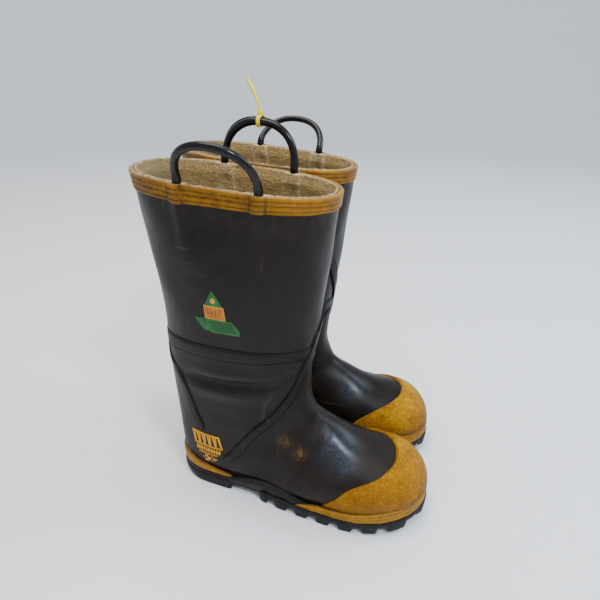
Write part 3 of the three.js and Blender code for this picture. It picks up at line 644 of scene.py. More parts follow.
def clothMaterial(name, look):
    # Fleece seen through the piece's own map, with flattened and soiled areas, and greyer areas that are partly
    # painted shade.
    material, tree, shader, place = startMaterial(name, 0.95, specular=0.08, sheen=0.06)
    where, onCloth = place["Object"], place["UV"]
    loops = groupNode(tree, fleeceGroup, {"Vector": onCloth, "Scale": look["loops"]})
    tone = toneNode(tree, where, 17.0, 1.2)
    colour = mixColours(tree, loops["Tone"], look["deep"], look["light"])
    colour = tinted(tree, colour, tone, 0.45, look["warm"])
    blots = blotsNode(tree, where, 34.0, 6.0, 0.7, 0.52, 0.72)
    colour = tinted(tree, colour, blots, 0.3, look["soilAndShade"])
    # The grey mask is partly painted shade: on the lining it darkens the fleece deeper into the boot.
    greyAndShade, pale = attributeNode(tree, "greyAndShade"), attributeNode(tree, "pale")
    colour = tinted(tree, colour, greyAndShade, 0.8, look["greyAndShade"])
    flecks = blotsNode(tree, where, 300.0, 4.0, 0.7, 0.4, 0.6)
    colour = tinted(tree, colour, pale, flecks, look["pale"])
    tree.links.new(colour, shader.inputs["Base Color"])
    rub = noiseNode(tree, where, 60.0, 4.0)
    bumpInto(tree, shader, [(loops["Height"], look["depth"], 0.9), (rub, 0.002, 0.3)])
    return material


def plainMaterial(name, look):
    # Print, nylon, board and steel: two tones, fine marks and a little relief.
    metallic, specular = look.get("metallic", 0.0), look.get("specular", 0.25)
    material, tree, shader, place = startMaterial(name, look["roughness"], metallic, specular)
    where = place["Object"]
    tone = toneNode(tree, where, look.get("scale", 60.0), 1.2)
    lines = linesNode(tree, where, 1.5, 0.7)
    colour = mixColours(tree, tone, look["deep"], look["light"])
    gapsFrom = look.get("gapsFrom", 0.58)
    gaps = blotsNode(tree, where, 380.0, 6.0, 0.75, gapsFrom, gapsFrom + 0.1)
    colour = tinted(tree, colour, gaps, look.get("gaps", 0.3), look["under"])
    colour = tinted(tree, colour, lines, 0.4, look["under"])
    tree.links.new(colour, shader.inputs["Base Color"])
    rough = rangeNode(tree, tone, 0.0, 1.0, max(look["roughness"] - 0.08, 0.05), look["roughness"] + 0.08)
    tree.links.new(rough, shader.inputs["Roughness"])
    grain = noiseNode(tree, where, 1200.0, 4.0)
    bumpInto(tree, shader, [(grain, look.get("depth", 0.0001), 0.5)])
    return material


shellRubber = rubberMaterial(
    "shellRubber",
    {
        "roughness": 0.42, "dark": (0.0036, 0.0023, 0.0016), "light": (0.0105, 0.0069, 0.005),
        "brown": (0.0145, 0.0082, 0.0048), "pale": (0.085, 0.066, 0.05), "marks": True,
        "dust": 0.07, "lines": 0.35,
    },
)
tapeRubber = rubberMaterial(
    "tapeRubber",
    {
        "roughness": 0.46, "dark": (0.0026, 0.0018, 0.0015), "light": (0.0078, 0.0056, 0.0045),
        "brown": (0.011, 0.0065, 0.0042), "pale": (0.08, 0.065, 0.05), "dust": 0.08,
    },
)
soleRubber = rubberMaterial(
    "soleRubber",
    {
        "roughness": 0.6, "dark": (0.0045, 0.004, 0.0042), "light": (0.0105, 0.0096, 0.0096),
        "brown": (0.0125, 0.0098, 0.0082), "pale": (0.11, 0.1, 0.09), "dust": 0.22, "spread": 0.7,
        "grain": 900.0, "grainStrength": 0.8,
    },
)
handleRubber = rubberMaterial(
    "handleRubber",
    {
        "roughness": 0.2, "specular": 0.24, "dark": (0.0025, 0.0022, 0.0026),
        "light": (0.006, 0.0055, 0.006), "brown": (0.007, 0.005, 0.0046),
        "pale": (0.09, 0.08, 0.07), "dust": 0.05, "lines": 0.25, "grainStrength": 0.22,
    },
)
guardYellow = yellowMaterial(
    "guardYellow",
    {
        "roughness": 0.55, "deep": (0.4, 0.15, 0.0), "bright": (0.84, 0.44, 0.0),
        "aged": (0.34, 0.115, 0.0), "soilAndShade": (0.11, 0.04, 0.001), "bare": (0.04, 0.025, 0.015),
        "cracks": 0.55, "cells": 480.0, "depth": 0.0009, "bump": 0.9, "ageing": 0.75,
        "blots": 0.65,
    },
)
stripYellow = yellowMaterial(
    "stripYellow",
    {
        "roughness": 0.5, "deep": (0.3, 0.12, 0.002), "bright": (0.62, 0.3, 0.004),
        "aged": (0.24, 0.095, 0.006), "soilAndShade": (0.065, 0.03, 0.008), "bare": (0.04, 0.025, 0.015),
        "cracks": 0.35, "cells": 420.0, "depth": 0.0005, "bump": 0.6, "blots": 0.7,
    },
)
bandYellow = yellowMaterial(
    "bandYellow",
    {
        "roughness": 0.42, "deep": (0.13, 0.045, 0.001), "bright": (0.46, 0.2, 0.003),
        "aged": (0.24, 0.11, 0.006), "soilAndShade": (0.03, 0.012, 0.002), "bare": (0.36, 0.27, 0.15),
        "cracks": 0.1, "cells": 300.0, "depth": 0.0002, "bump": 0.35, "blots": 0.6, "ageing": 0.6,
    },
)
liningCloth = clothMaterial(
    "liningCloth",
    {
        "loops": 62.0, "depth": 0.0011, "deep": (0.15, 0.09, 0.032), "light": (0.56, 0.385, 0.165),
        "warm": (0.46, 0.29, 0.105), "soilAndShade": (0.12, 0.075, 0.03), "greyAndShade": (0.21, 0.185, 0.105),
        "pale": (0.6, 0.46, 0.25),
    },
)
footbedCloth = clothMaterial(
    "footbedCloth",
    {
        "loops": 110.0, "depth": 0.0005, "deep": (0.05, 0.048, 0.044),
        "light": (0.13, 0.125, 0.115), "warm": (0.1, 0.085, 0.07), "soilAndShade": (0.05, 0.04, 0.035),
        "greyAndShade": (0.08, 0.08, 0.08), "pale": (0.2, 0.18, 0.16),
    },
)
steel = plainMaterial(
    "steel",
    {
        "roughness": 0.38, "metallic": 1.0, "deep": (0.42, 0.43, 0.44), "light": (0.6, 0.61, 0.62),
        "under": (0.3, 0.29, 0.28),
    },
)
fibreBoard = plainMaterial(
    "fibreBoard",
    {
        "roughness": 0.88, "deep": (0.2, 0.14, 0.08), "light": (0.34, 0.25, 0.15),
        "under": (0.14, 0.1, 0.06), "depth": 0.0003,
    },
)
greenPrint = plainMaterial(
    "greenPrint",
    {
        "roughness": 0.5, "deep": (0.008, 0.085, 0.016), "light": (0.02, 0.16, 0.03),
        "under": (0.012, 0.016, 0.01), "gaps": 0.6, "gapsFrom": 0.52,
    },
)
orangePrint = plainMaterial(
    "orangePrint",
    {
        "roughness": 0.5, "deep": (0.34, 0.09, 0.001), "light": (0.5, 0.17, 0.002),
        "under": (0.1, 0.035, 0.003), "gaps": 0.4,
    },
)
creamPrint = plainMaterial(
    "creamPrint",
    {
        "roughness": 0.55, "deep": (0.42, 0.22, 0.03), "light": (0.6, 0.36, 0.07),
        "under": (0.16, 0.08, 0.02), "gaps": 0.4,
    },
)
badgeYellow = plainMaterial(
    "badgeYellow",
    {
        "roughness": 0.5, "deep": (0.46, 0.19, 0.006), "light": (0.68, 0.33, 0.012),
        "under": (0.045, 0.024, 0.01), "gaps": 0.7, "gapsFrom": 0.54,
    },
)
badgeRed = plainMaterial(
    "badgeRed",
    {
        "roughness": 0.55, "deep": (0.18, 0.04, 0.02), "light": (0.3, 0.1, 0.04),
        "under": (0.04, 0.03, 0.025), "gaps": 0.6, "gapsFrom": 0.52,
    },
)
tieNylon = plainMaterial(
    "tieNylon",
    {
        "roughness": 0.36, "specular": 0.15, "deep": (0.8, 0.58, 0.0), "light": (0.98, 0.78, 0.0),
        "under": (0.55, 0.34, 0.006), "scale": 120.0,
    },
)
print("materials made")


def ringOf(columns):
    return np.linspace(0, 2 * np.pi, columns, endpoint=False)


shell = {
    "columns": 224,
    "legRows": 150,
    "footRows": 110,
    "insideRows": 60,
    "wall": 2.7,
    "scuffs": {
        "right": [(144, -33, 87, 7, 0.55), (163, -38, 76, 6, 0.8), (160, -37, 84, 4, 0.7)],
        "left": [(150, 34, 92, 8, 0.4)],
    },
    # Spots made glossier and given a painted bluish highlight, as centre and radius.
    "glossAndPaintedHighlight": {
        "right": [(206, -26, 84, 20), (199, -20, 90, 12), (214, -36, 72, 12)],
        "left": [(205, 24, 86, 15)],
    },
}


def shellRows():
    leg = np.linspace(0, upper["legEnd"], shell["legRows"], endpoint=False)
    share = np.sin(np.linspace(0, np.pi / 2, shell["footRows"]))
    foot = upper["legEnd"] + (upper["end"] - upper["legEnd"]) * share
    return np.concatenate([leg, foot])


def spotMask(points, spots):
    # Soft round spots: each falls off with the square of the distance.
    mask = np.zeros(points.shape[:-1])
    for x, y, z, radius, *strength in spots:
        gap = np.linalg.norm(points - np.array([x, y, z]), axis=-1)
        mask = np.maximum(mask, (strength[0] if strength else 1) * np.exp(-((gap / radius) ** 2)))
    return mask


def buildShell(side):
    outside = shellRows()[::-1]
    inside = np.linspace(0, 1, shell["insideRows"]) ** 1.1 * 0.996
    s = np.concatenate([outside, inside])
    lift = np.concatenate([np.zeros(len(outside)), np.full(len(inside), -shell["wall"])])
    angle = ringOf(shell["columns"])
    grid = onBoot(s[:, None], angle[None], lift[:, None], side)
    lowSide = 1 - smoothStep(18, 46, grid[..., 2])
    rimDirt = 1 - smoothStep(0.05, 0.14, s)[:, None]
    heelDirt = (1 - smoothStep(30, 75, grid[..., 0])) * (1 - smoothStep(30, 90, grid[..., 2]))
    marks = {
        "scuff": spotMask(grid, shell["scuffs"][side]),
        # Glossier spots that also carry a painted bluish highlight.
        "glossAndPaintedHighlight": spotMask(grid, shell["glossAndPaintedHighlight"][side]),
        "dirtAndShade": np.clip(0.55 * lowSide + 0.25 * rimDirt + 0.35 * heelDirt, 0, 1),
    }
    made = loft(f"{side}_rubber_upper", grid, side, shellRubber, marks=marks, sharp=60)
    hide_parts(f"{side}_shaft", f"{side}_vamp")
    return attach(made, f"{side}_boot")


lining = {
    "columns": 288,
    "insideRows": 190,
    "outsideRows": 130,
    "thickness": 5.0,
    "thinning": 2.4,
    "upperRows": 120,
    "upperEnd": 0.3,
    "gap": 0.3,
    "rib": 2.6,
    "ribHalfWidth": 8.5,
    "seam": 1.1,
    "edgeRise": 0.9,
}


def legRibs(s, angle, turning, side):
    # Cloth carried over the handle ends: a flat-topped rib inside each leg.
    turned = (angle + np.pi) % (2 * np.pi) - np.pi
    rib, seam = np.zeros(np.broadcast(s, angle).shape), np.zeros(np.broadcast(s, angle).shape)
    for foot in handles["footAngles"][side].values():
        across = (turned - foot) * turning
        fade = 1 - smoothStep(0.16, 0.21, s)
        rib = rib + np.exp(-((across / lining["ribHalfWidth"]) ** 4)) * fade
        for edgeSign in (-1, 1):
            seam = seam + np.exp(-(((across - edgeSign * 9) / 1.6) ** 2)) * fade
    return rib, seam


def buildLining(side):
    # Outer face against the rubber, a rounded cut edge at the rim, then the fleece down to the toes.
    outside = np.linspace(0.993, 0, lining["outsideRows"])
    collar = np.linspace(0, lining["upperEnd"], lining["upperRows"], endpoint=False)
    below = np.linspace(lining["upperEnd"], 0.99, lining["insideRows"] - lining["upperRows"])
    inside = np.concatenate([collar, below])
    edgeTurn = np.linspace(0, np.pi, 7)[1:-1]
    gap = shell["wall"] + lining["gap"]
    s = np.concatenate([outside, -lining["edgeRise"] / upper["legLength"] * np.sin(edgeTurn), inside])
    thickness = lining["thickness"] - lining["thinning"] * (1 - smoothStep(0, 0.03, inside))
    edge = thickness[0] * (1 - np.cos(edgeTurn)) / 2
    base = -gap - np.concatenate([np.zeros(len(outside)), edge, thickness])
    share = (1 - np.cos(edgeTurn)) / 2
    isInside = np.concatenate([np.zeros(len(outside)), share, np.ones(len(inside))])[:, None]
    angle = ringOf(lining["columns"])
    turning = np.linalg.norm(upperSlopes(np.clip(s, 0, 0.99)[:, None], angle[None])[1], axis=-1)
    rib, seam = legRibs(s[:, None], angle[None], turning, side)
    slack = 0.5 * np.sin(6 * angle + 9 * s[:, None]) * np.sin(31 * s[:, None] + 2 * np.sin(3 * angle))
    ragged = np.random.default_rng(7 if side == "right" else 8).normal(0, 1, (len(s), len(angle)))
    ragged = (ragged + np.roll(ragged, 1, 1) + np.roll(ragged, -1, 1)) / 3
    fullRib = lining["rib"] + (lining["thinning"] + 0.5) * (1 - smoothStep(0.01, 0.05, s))[:, None]
    slack = slack * smoothStep(0, 0.05, s)[:, None]
    lift = base[:, None] - isInside * (fullRib * rib + lining["seam"] * seam - slack - 0.22 * ragged)
    grid = onBoot(s[:, None], angle[None], lift, side)
    rough = np.abs(s) < 0.004
    grid[rough, :, 2] += 0.5 * ragged[rough]
    rowLengths = np.concatenate([[0], np.cumsum(np.linalg.norm(np.diff(grid.mean(1), axis=0), axis=-1))])
    around = np.linspace(0, 2 * np.pi, lining["columns"] + 1) * 78
    uv = surfaceUv(np.append(rowLengths, rowLengths[-1]), around)
    # The grey mask greys the fleece at the back, and deeper into the boot it is painted shade.
    back = smoothStep(-0.2, -0.8, np.cos(angle - (0.5 if side == "right" else -0.2)))[None]
    deep = smoothStep(0.1, 0.5, s)[:, None]
    cutEdge = (1 - smoothStep(0.0, 0.008, np.abs(s)))[:, None]
    marks = {
        "greyAndShade": np.clip(0.75 * back + 0.5 * deep, 0, 1) * np.ones_like(rib),
        "pale": np.clip(1.0 * seam + 0.4 * rib + 0.7 * cutEdge, 0, 1),
    }
    made = loft(
        f"{side}_lining_fleece",
        grid,
        side,
        liningCloth,
        uv=uv,
        marks=marks,
        sharp=80,
    )
    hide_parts(f"{side}_lining")
    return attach(made, f"{side}_boot")


topBand = {
    "columns": 420,
    "rib": 0.9,
    "ribHalfWidth": 6.5,
    "crease": 0.55,
    "profile": [  # distance below the rim and lift off the rubber, round the band's section
        (-0.2, -2.3), (-0.7, -1.7), (-0.95, -0.7), (-0.85, 0.4), (-0.45, 1.2), (0.3, 1.7), (1.6, 1.85),
        (2.6, 1.65), (3.1, 1.15), (3.6, 1.6), (4.6, 1.8), (6.4, 1.7), (6.8, 1.3), (7.2, 1.65), (9.0, 1.7),
        (10.8, 1.75), (11.4, 1.25), (12.0, 1.75), (13.4, 1.65), (14.2, 1.2), (14.6, 0.5),
        (14.5, -0.4), (8, -0.6), (1, -0.6),
    ],
}


def buildTopBand(side):
    angle = np.linspace(0, 2 * np.pi, topBand["columns"], endpoint=False)
    down, lift = (np.array(v) for v in zip(*topBand["profile"]))
    s = np.broadcast_to(down[None] / upper["legLength"], (len(angle), len(down)))
    turned = (angle + np.pi) % (2 * np.pi) - np.pi
    turning = np.linalg.norm(upperSlopes(np.zeros(len(angle)), angle)[1], axis=-1)
    outer = smoothStep(0.6, 1.6, lift)[None]
    raised, crease = np.zeros(len(angle)), np.zeros(len(angle))
    for foot in handles["footAngles"][side].values():
        across = (turned - foot) * turning
        raised += np.exp(-((across / topBand["ribHalfWidth"]) ** 6))
        for edgeSign in (-1, 1):
            crease += np.exp(-(((across - edgeSign * 6.8) / 0.9) ** 2))
    wander = 0.35 * np.sin(7 * angle + 1.1) + 0.25 * np.sin(17 * angle + 0.3)
    swell = topBand["rib"] * raised - topBand["crease"] * crease + 0.25 * wander
    total = lift[None] + outer * swell[:, None]
    lower = smoothStep(9, 14.5, down)[None]
    s = s + lower * (0.7 * wander + 0.8 * raised)[:, None] / upper["legLength"]
    grid = onBoot(s, angle[:, None], total, side)
    top = (down < -0.3)[None] & (lift < 0.6)[None]
    worn = np.clip(0.45 * top + 0.15 * (np.abs(down - 3.1) < 0.3)[None], 0, 1) * np.ones((len(angle), 1))
    backEnd = smoothStep(0.75, 0.98, -np.cos(angle - 0.25 * (1 if side == "right" else -1)))[:, None]
    worn = np.clip(worn + 0.9 * backEnd * (np.abs(down + 0.4) < 1.4)[None], 0, 1)
    # Grime is painted shade and dirt: darkest in the three grooves, along the lower edge and in the creases by the
    # handle legs, more over the back, and a little everywhere.
    backward = smoothStep(0.35, -0.55, np.cos(angle - 0.3 * (1 if side == "right" else -1)))[:, None]
    hollow = sum(
        np.exp(-(((down - at) / 0.45) ** 2)) for at in (3.1, 6.8, 11.4)
    ) + smoothStep(13.4, 14.6, down)
    marks = {
        "dirtAndShade": np.clip(hollow[None] * 0.8 + 0.8 * crease[:, None] + 0.1 + 0.42 * backward, 0, 1),
        "worn": worn,
    }
    made = loft(
        f"{side}_rim_band",
        grid,
        side,
        bandYellow,
        loop=True,
        marks=marks,
        sharp=50,
    )
    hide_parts(f"{side}_top_band")
    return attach(made, f"{side}_boot")


tapes = {
    "seamSteps": 300,
    "seamHalfWidth": 5.3,
    "section": [
        (-1, -0.35), (-0.98, 0.7), (-0.92, 1.15), (-0.84, 1.2), (-0.77, 0.75), (-0.69, 1.15), (-0.5, 1.3), (0, 1.4),
        (0.5, 1.3), (0.69, 1.15), (0.77, 0.75), (0.84, 1.2), (0.92, 1.15), (0.98, 0.7),
        (1, -0.35), (0, -0.5),
    ],
    "shinWidth": 11,
    "shinOuter": [
        (0.664, -1.72), (0.646, -1.592), (0.618, -1.41), (0.591, -1.217), (0.566, -0.893), (0.521, -0.595),
        (0.475, -0.42), (0.428, -0.271), (0.392, -0.12), (0.352, 0.06), (0.31, 0.25), (0.262, 0.42),
    ],
    "shinInner": [
        (0.664, 1.72), (0.646, 1.592), (0.618, 1.41), (0.591, 1.217), (0.566, 0.893), (0.521, 0.595),
        (0.47, 0.38), (0.435, 0.15), (0.428, -0.05), (0.442, -0.28), (0.472, -0.5),
    ],
    "backWidth": 8.5,
    "backStops": [
        (0.345, 0), (0.37, 0.17), (0.408, 0.42), (0.438, 0.74), (0.478, 0.92), (0.529, 1.07),
        (0.558, 1.2),
    ],
}


def seamPath(angle):
    # Level of the seam tape: lowest on the shin, highest at the back of the calf.
    return 0.3685 + 0.036 * ((1 + np.cos(angle)) / 2) ** 2


def buildSeamBand(side):
    angle = np.linspace(0, 2 * np.pi, tapes["seamSteps"], endpoint=False)
    across, lift = (np.array(v) for v in zip(*tapes["section"]))
    s = seamPath(angle)[:, None] + across[None] * tapes["seamHalfWidth"] / upper["legLength"]
    grid = onBoot(s, angle[:, None], np.broadcast_to(lift * 0.9, s.shape), side)
    made = loft(f"{side}_seam_tape", grid, side, tapeRubber, loop=True)
    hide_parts(f"{side}_seam_band")
    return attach(made, f"{side}_boot")


def tapeGrid(stops, width, side, extra=0.0, steps=150, taper=0.04):
    # A tape along a smooth path on the boot, narrowed to a rounded end at both ends.
    knots = np.linspace(0, 1, len(stops))
    t = np.linspace(0, 1, steps)
    s, angle = (throughPoints(knots, [stop[k] for stop in stops], t) for k in (0, 1))
    points = upperPoint(s, angle)
    heading = np.gradient(points, axis=0)
    alongLeg, turning = upperSlopes(s, angle)
    normal = unit(np.cross(alongLeg, turning))
    sideways = unit(np.cross(normal, heading))
    narrow = np.sqrt(np.clip(np.minimum(t, 1 - t) / taper, 0.02, 1))
    across, lift = (np.array(v) for v in zip(*tapes["section"]))
    move = across[None] * (width / 2 * narrow)[:, None]
    ss, rr, sr = (alongLeg**2).sum(-1), (turning**2).sum(-1), (alongLeg * turning).sum(-1)
    det = ss * rr - sr * sr
    a, b = (sideways * alongLeg).sum(-1), (sideways * turning).sum(-1)
    gridS = s[:, None] + move * ((a * rr - b * sr) / det)[:, None]
    gridAngle = angle[:, None] + move * ((b * ss - a * sr) / det)[:, None]
    total = lift[None] + extra * smoothStep(0, 0.1, np.minimum(t, 1 - t))[:, None] * (lift > 0)[None]
    return onBoot(gridS, gridAngle, total, side)


def joinPieces(name, pieces):
    # Several closed pieces of one moulding under one name.
    with bpy.context.temp_override(active_object=pieces[0], selected_editable_objects=pieces):
        bpy.ops.object.join()
    pieces[0].name = pieces[0].data.name = name
    return pieces[0]


def buildTapes(side):
    lengths = []
    for stops, extra in ((tapes["shinOuter"], 0.9), (tapes["shinInner"], 0.1)):
        grid = tapeGrid(stops, tapes["shinWidth"], side, extra, 220)
        lengths.append(loft("tape", grid, side, tapeRubber))
    shin = joinPieces(f"{side}_shin_tapes", lengths)
    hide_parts(f"{side}_ankle_strap")
    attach(shin, f"{side}_boot")
    halves = []
    for sign in (-1, 1):
        stops = [(s, math.pi + sign * angle) for s, angle in tapes["backStops"]]
        grid = tapeGrid(stops, tapes["backWidth"], side, 0.2, 180)
        halves.append(loft("tape", grid, side, tapeRubber))
    back = joinPieces(f"{side}_back_tapes", halves)
    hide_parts(f"{side}_back_strap")
    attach(back, f"{side}_boot")


outline = {"level": 33, "columns": 480}


def outlinePoints():
    # Where the walls of the foot stand upright, seen from above: for each section, the point at that
    # level, found by halving the angle. Both sides are read at the same distances along the foot.
    s = 0.53 + (0.9995 - 0.53) * (0.5 - np.cos(np.linspace(0, np.pi, 1200)) / 2)
    s = s[upperPoint(s, np.pi)[:, 2] < outline["level"]]
    sides = []
    for sign in (-1, 1):
        low, high = np.zeros(len(s)), np.full(len(s), np.pi)
        for _ in range(40):
            mid = (low + high) / 2
            above = upperPoint(s, sign * mid)[:, 2] > outline["level"]
            low, high = np.where(above, mid, low), np.where(above, high, mid)
        sides.append(upperPoint(s, sign * low)[:, :2])
    heel = min(side[:, 0].min() for side in sides) - 0.3
    toe = max(side[:, 0].max() for side in sides) + 0.3
    t = np.linspace(0, 1, outline["columns"], endpoint=False)
    x = (heel + toe) / 2 - (toe - heel) / 2 * np.cos(2 * np.pi * t)
    y = np.zeros(len(t))
    for sign, side in zip((-1, 1), sides):
        order = np.argsort(side[:, 0])
        knotsX = np.concatenate([[heel], side[order, 0], [toe]])
        knotsY = np.concatenate([[0], side[order, 1], [0]])
        bent = np.arccos(np.clip(((heel + toe) / 2 - knotsX) / ((toe - heel) / 2), -1, 1))
        here = np.arccos(np.clip(((heel + toe) / 2 - x) / ((toe - heel) / 2), -1, 1))
        mine = (t < 0.5) if sign < 0 else (t >= 0.5)
        y = np.where(mine, np.interp(here, bent, knotsY), y)
    kernel = np.exp(-((np.arange(-6, 7) / 2.6) ** 2))
    kernel /= kernel.sum()
    soft = lambda v: np.convolve(np.concatenate([v[-6:], v, v[:6]]), kernel, "valid")
    return np.stack([soft(x), soft(y)], -1)


outline["points"] = outlinePoints()
ahead, behind = (np.roll(outline["points"], shift, 0) for shift in (-1, 1))
outline["normals"] = unit((ahead - behind)[:, ::-1] * np.array([1, -1]))
if (outline["normals"] * outline["points"]).sum(-1)[outline["columns"] // 2] < 0:
    outline["normals"] *= -1


def atHeight(plan, z):
    return np.concatenate([plan, np.broadcast_to(z, plan.shape[:-1])[..., None]], -1)


def mergeDoubles(mesh):
    edit = bmesh.new()
    edit.from_mesh(mesh)
    bmesh.ops.remove_doubles(edit, verts=edit.verts, dist=2e-5)
    bmesh.ops.dissolve_degenerate(edit, edges=edit.edges, dist=1e-6)
    edit.to_mesh(mesh)
    edit.free()


def middleLine(rear, front):
    # For each point of the outline, the spot of the foot's middle line beside it, kept clear of both
    # ends by rear and front.
    x, y = outline["points"].T
    half = outline["columns"] // 2
    partner = -np.arange(outline["columns"]) % outline["columns"]
    middleX = np.clip(x, x.min() + rear, x.max() - front)
    middleY = np.interp(middleX, x[: half + 1], ((y + y[partner]) / 2)[: half + 1])
    return np.stack([(middleX + middleX[partner]) / 2, (middleY + middleY[partner]) / 2], -1)


def edgeRows(columns, lift, z):
    # Points round the outline, moved outwards by lift in plan, at height z. columns may be fractions.
    count = outline["columns"]
    wrapped = np.asarray(columns, float) % count
    low = np.floor(wrapped).astype(int)
    share = (wrapped - low)[..., None]
    pick = lambda values: values[low % count] * (1 - share) + values[(low + 1) % count] * share
    plan = pick(outline["points"]) + unit(pick(outline["normals"])) * np.asarray(lift)[..., None]
    return atHeight(plan, z)


spring = {"from": 205, "to": 305, "height": 8.5}


def toeSpring(x):
    # The sole leaves the floor ahead of the ball of the foot.
    return spring["height"] * np.clip((x - spring["from"]) / (spring["to"] - spring["from"]), 0, 1.1) ** 1.7


def columnAt(x, side):
    # Column of the outline at a distance along the foot, on the outer (-1) or inner (1) side.
    half = outline["columns"] // 2
    xs = outline["points"][: half + 1, 0]
    found = np.interp(x, xs, np.arange(half + 1))
    return found if side < 0 else outline["columns"] - found


def bandLoft(name, side, columns, section, material, marks=None, sharp=40):
    # A strip that stands round the outline. section gives lift and height for each point round its
    # section, as arrays of columns by points.
    base = edgeRows(columns, np.zeros(len(columns)), 0)
    lift, z = section(base[:, 0], base[:, 1])
    grid = edgeRows(np.broadcast_to(columns[:, None], lift.shape), lift, z)
    extra = marks(base[:, 0]) if marks else None
    return loft(name, grid, side, material, marks=extra, sharp=sharp)


bumper = {
    "startX": 163,
    "topX": [160, 180, 205, 230, 250, 268, 285, 296, 303],
    "topZ": [22.5, 24.0, 25.5, 28.5, 32.5, 37.0, 41.0, 43.0, 43.5],
    "section": [
        (0, 0.4), (0.0, 2.6), (0.16, 3.5), (0.36, 3.7), (0.4, 3.25), (0.45, 3.7), (0.62, 3.65),
        (0.66, 3.2), (0.71, 3.6), (0.9, 3.3), (0.985, 2.7), (1.0, 0.6),
    ],
}


def wallSetback(z, x):
    # How far the toe's wall leans in above the outline's level.
    over = np.clip((z - outline["level"]) / 42, 0, 0.9)
    return 30 * (1 - np.sqrt(1 - over**2)) * smoothStep(150, 250, x)


def buildBumper(side):
    columns = np.linspace(columnAt(bumper["startX"], -1), columnAt(bumper["startX"] + 8, 1), 380)
    share, lift = (np.array(v) for v in zip(*bumper["section"]))

    def section(x, y):
        bottom = 14.6 + toeSpring(x)
        scallop = 0.7 * np.abs(np.sin(np.pi * (x - 118) / 13)) * smoothStep(280, 180, x)
        top = np.interp(x, bumper["topX"], bumper["topZ"])
        t = np.linspace(0, 1, len(x))
        ends = np.sqrt(np.clip(np.minimum(t, 1 - t) / 0.05, 0, 1))
        top = bottom + 1.5 + (np.maximum(top - bottom, 2) - 1.5) * ends**1.5
        z = (bottom + scallop)[:, None] + (top - bottom - scallop)[:, None] * share[None]
        out = (lift[None] - wallSetback(z, x[:, None])) * np.where(
            lift[None] > 1, ends[:, None] * 0.5 + 0.5, 1
        )
        return out, z

    def marks(x):
        # Grime is painted shade and dirt: dark in the two grooves and along both edges, and a little darker towards
        # the bottom.
        hollow = np.exp(-(((share - 0.4) / 0.03) ** 2)) + np.exp(-(((share - 0.66) / 0.03) ** 2))
        hollow = hollow + (share < 0.1) + (share > 0.96)
        dirtAndShade = np.clip(0.9 * hollow[None] + 0.2 * (1 - smoothStep(0, 0.35, share))[None], 0, 1)
        return {"dirtAndShade": dirtAndShade * np.ones((len(x), 1)), "worn": np.zeros((len(x), len(share)))}

    made = bandLoft(f"{side}_bumper_strip", side, columns, section, stripYellow, marks)
    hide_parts(f"{side}_toe_bumper")
    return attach(made, f"{side}_boot")


heelStrip = {
    "endX": 92,
    "section": [(0, 0.4), (0.02, 2.4), (0.15, 3.2), (0.5, 3.5), (0.8, 3.2), (0.97, 2.4), (1, 0.3)],
}


def heelLean(z):
    # The heel's wall leans in below the outline's level and out above it, following the upper.
    return np.interp(z, [14, 20, 33, 45, 60], [-3.5, -1.6, 0, 0.3, -0.4])


def buildHeelStrip(side):
    reach = columnAt(heelStrip["endX"], -1)
    columns = np.linspace(-reach, reach, 200)
    share, lift = (np.array(v) for v in zip(*heelStrip["section"]))

    def section(x, y):
        t = np.abs(np.linspace(-1, 1, len(x)))
        bottom = np.interp(x, [0, 20, 60, 92], [24.0, 22.2, 20.3, 20.2])
        height = 19.5 * (1 - t**2.3) ** 0.75 * np.interp(x, [0, 15, 50, 92], [1, 0.95, 0.72, 0.5])
        z = bottom[:, None] + np.maximum(height, 0.5)[:, None] * share[None]
        return lift[None] * (0.55 + 0.45 * (1 - t**6))[:, None] + 0.35 * heelLean(z), z

    def marks(x):
        # Grime is painted shade and dirt along both edges, where the strip meets the rubber, and a little
        # everywhere.
        rim = (share < 0.1) | (share > 0.93)
        dirtAndShade = np.clip(0.7 * rim[None] + 0.15, 0, 1) * np.ones((len(x), 1))
        return {"dirtAndShade": dirtAndShade, "worn": np.zeros((len(x), len(share)))}

    made = bandLoft(f"{side}_heel_crescent", side, columns, section, stripYellow, marks)
    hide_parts(f"{side}_heel_strip")
    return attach(made, f"{side}_boot")


foxing = {
    "topX": [-2, 12, 40, 70, 88, 100, 112, 126, 140, 152, 163, 175],
    "topZ": [25.5, 23.8, 21.8, 21.3, 24, 28, 31.5, 33.5, 33.0, 30.5, 26.5, 22.5],
    "section": [
        (0, -1), (0, 2.2), (0.1, 2.9), (0.55, 3.0), (0.7, 2.85), (0.76, 2.3), (0.82, 2.75),
        (0.95, 2.4), (1.0, 1.7), (1.0, 0.1), (0.5, -0.8),
    ],
}


def buildFoxing(side):
    reach = columnAt(bumper["startX"] + 14, -1)
    columns = np.linspace(-reach, reach, 420)
    share, lift = (np.array(v) for v in zip(*foxing["section"]))

    def section(x, y):
        t = np.abs(np.linspace(-1, 1, len(x)))
        bottom = np.full(len(x), 13.8)
        top = np.interp(x, foxing["topX"], foxing["topZ"]) * np.where(y > 0, 0.98, 1)
        top = np.convolve(np.pad(top, 6, "edge"), np.ones(13) / 13, "valid")
        z = bottom[:, None] + (top - bottom)[:, None] * share[None]
        return lift[None] * (1 - 0.35 * smoothStep(0.93, 1, t))[:, None] + 0.2 * heelLean(z), z

    made = bandLoft(f"{side}_foxing_strip", side, columns, section, tapeRubber)
    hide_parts(f"{side}_foxing")
    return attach(made, f"{side}_boot")


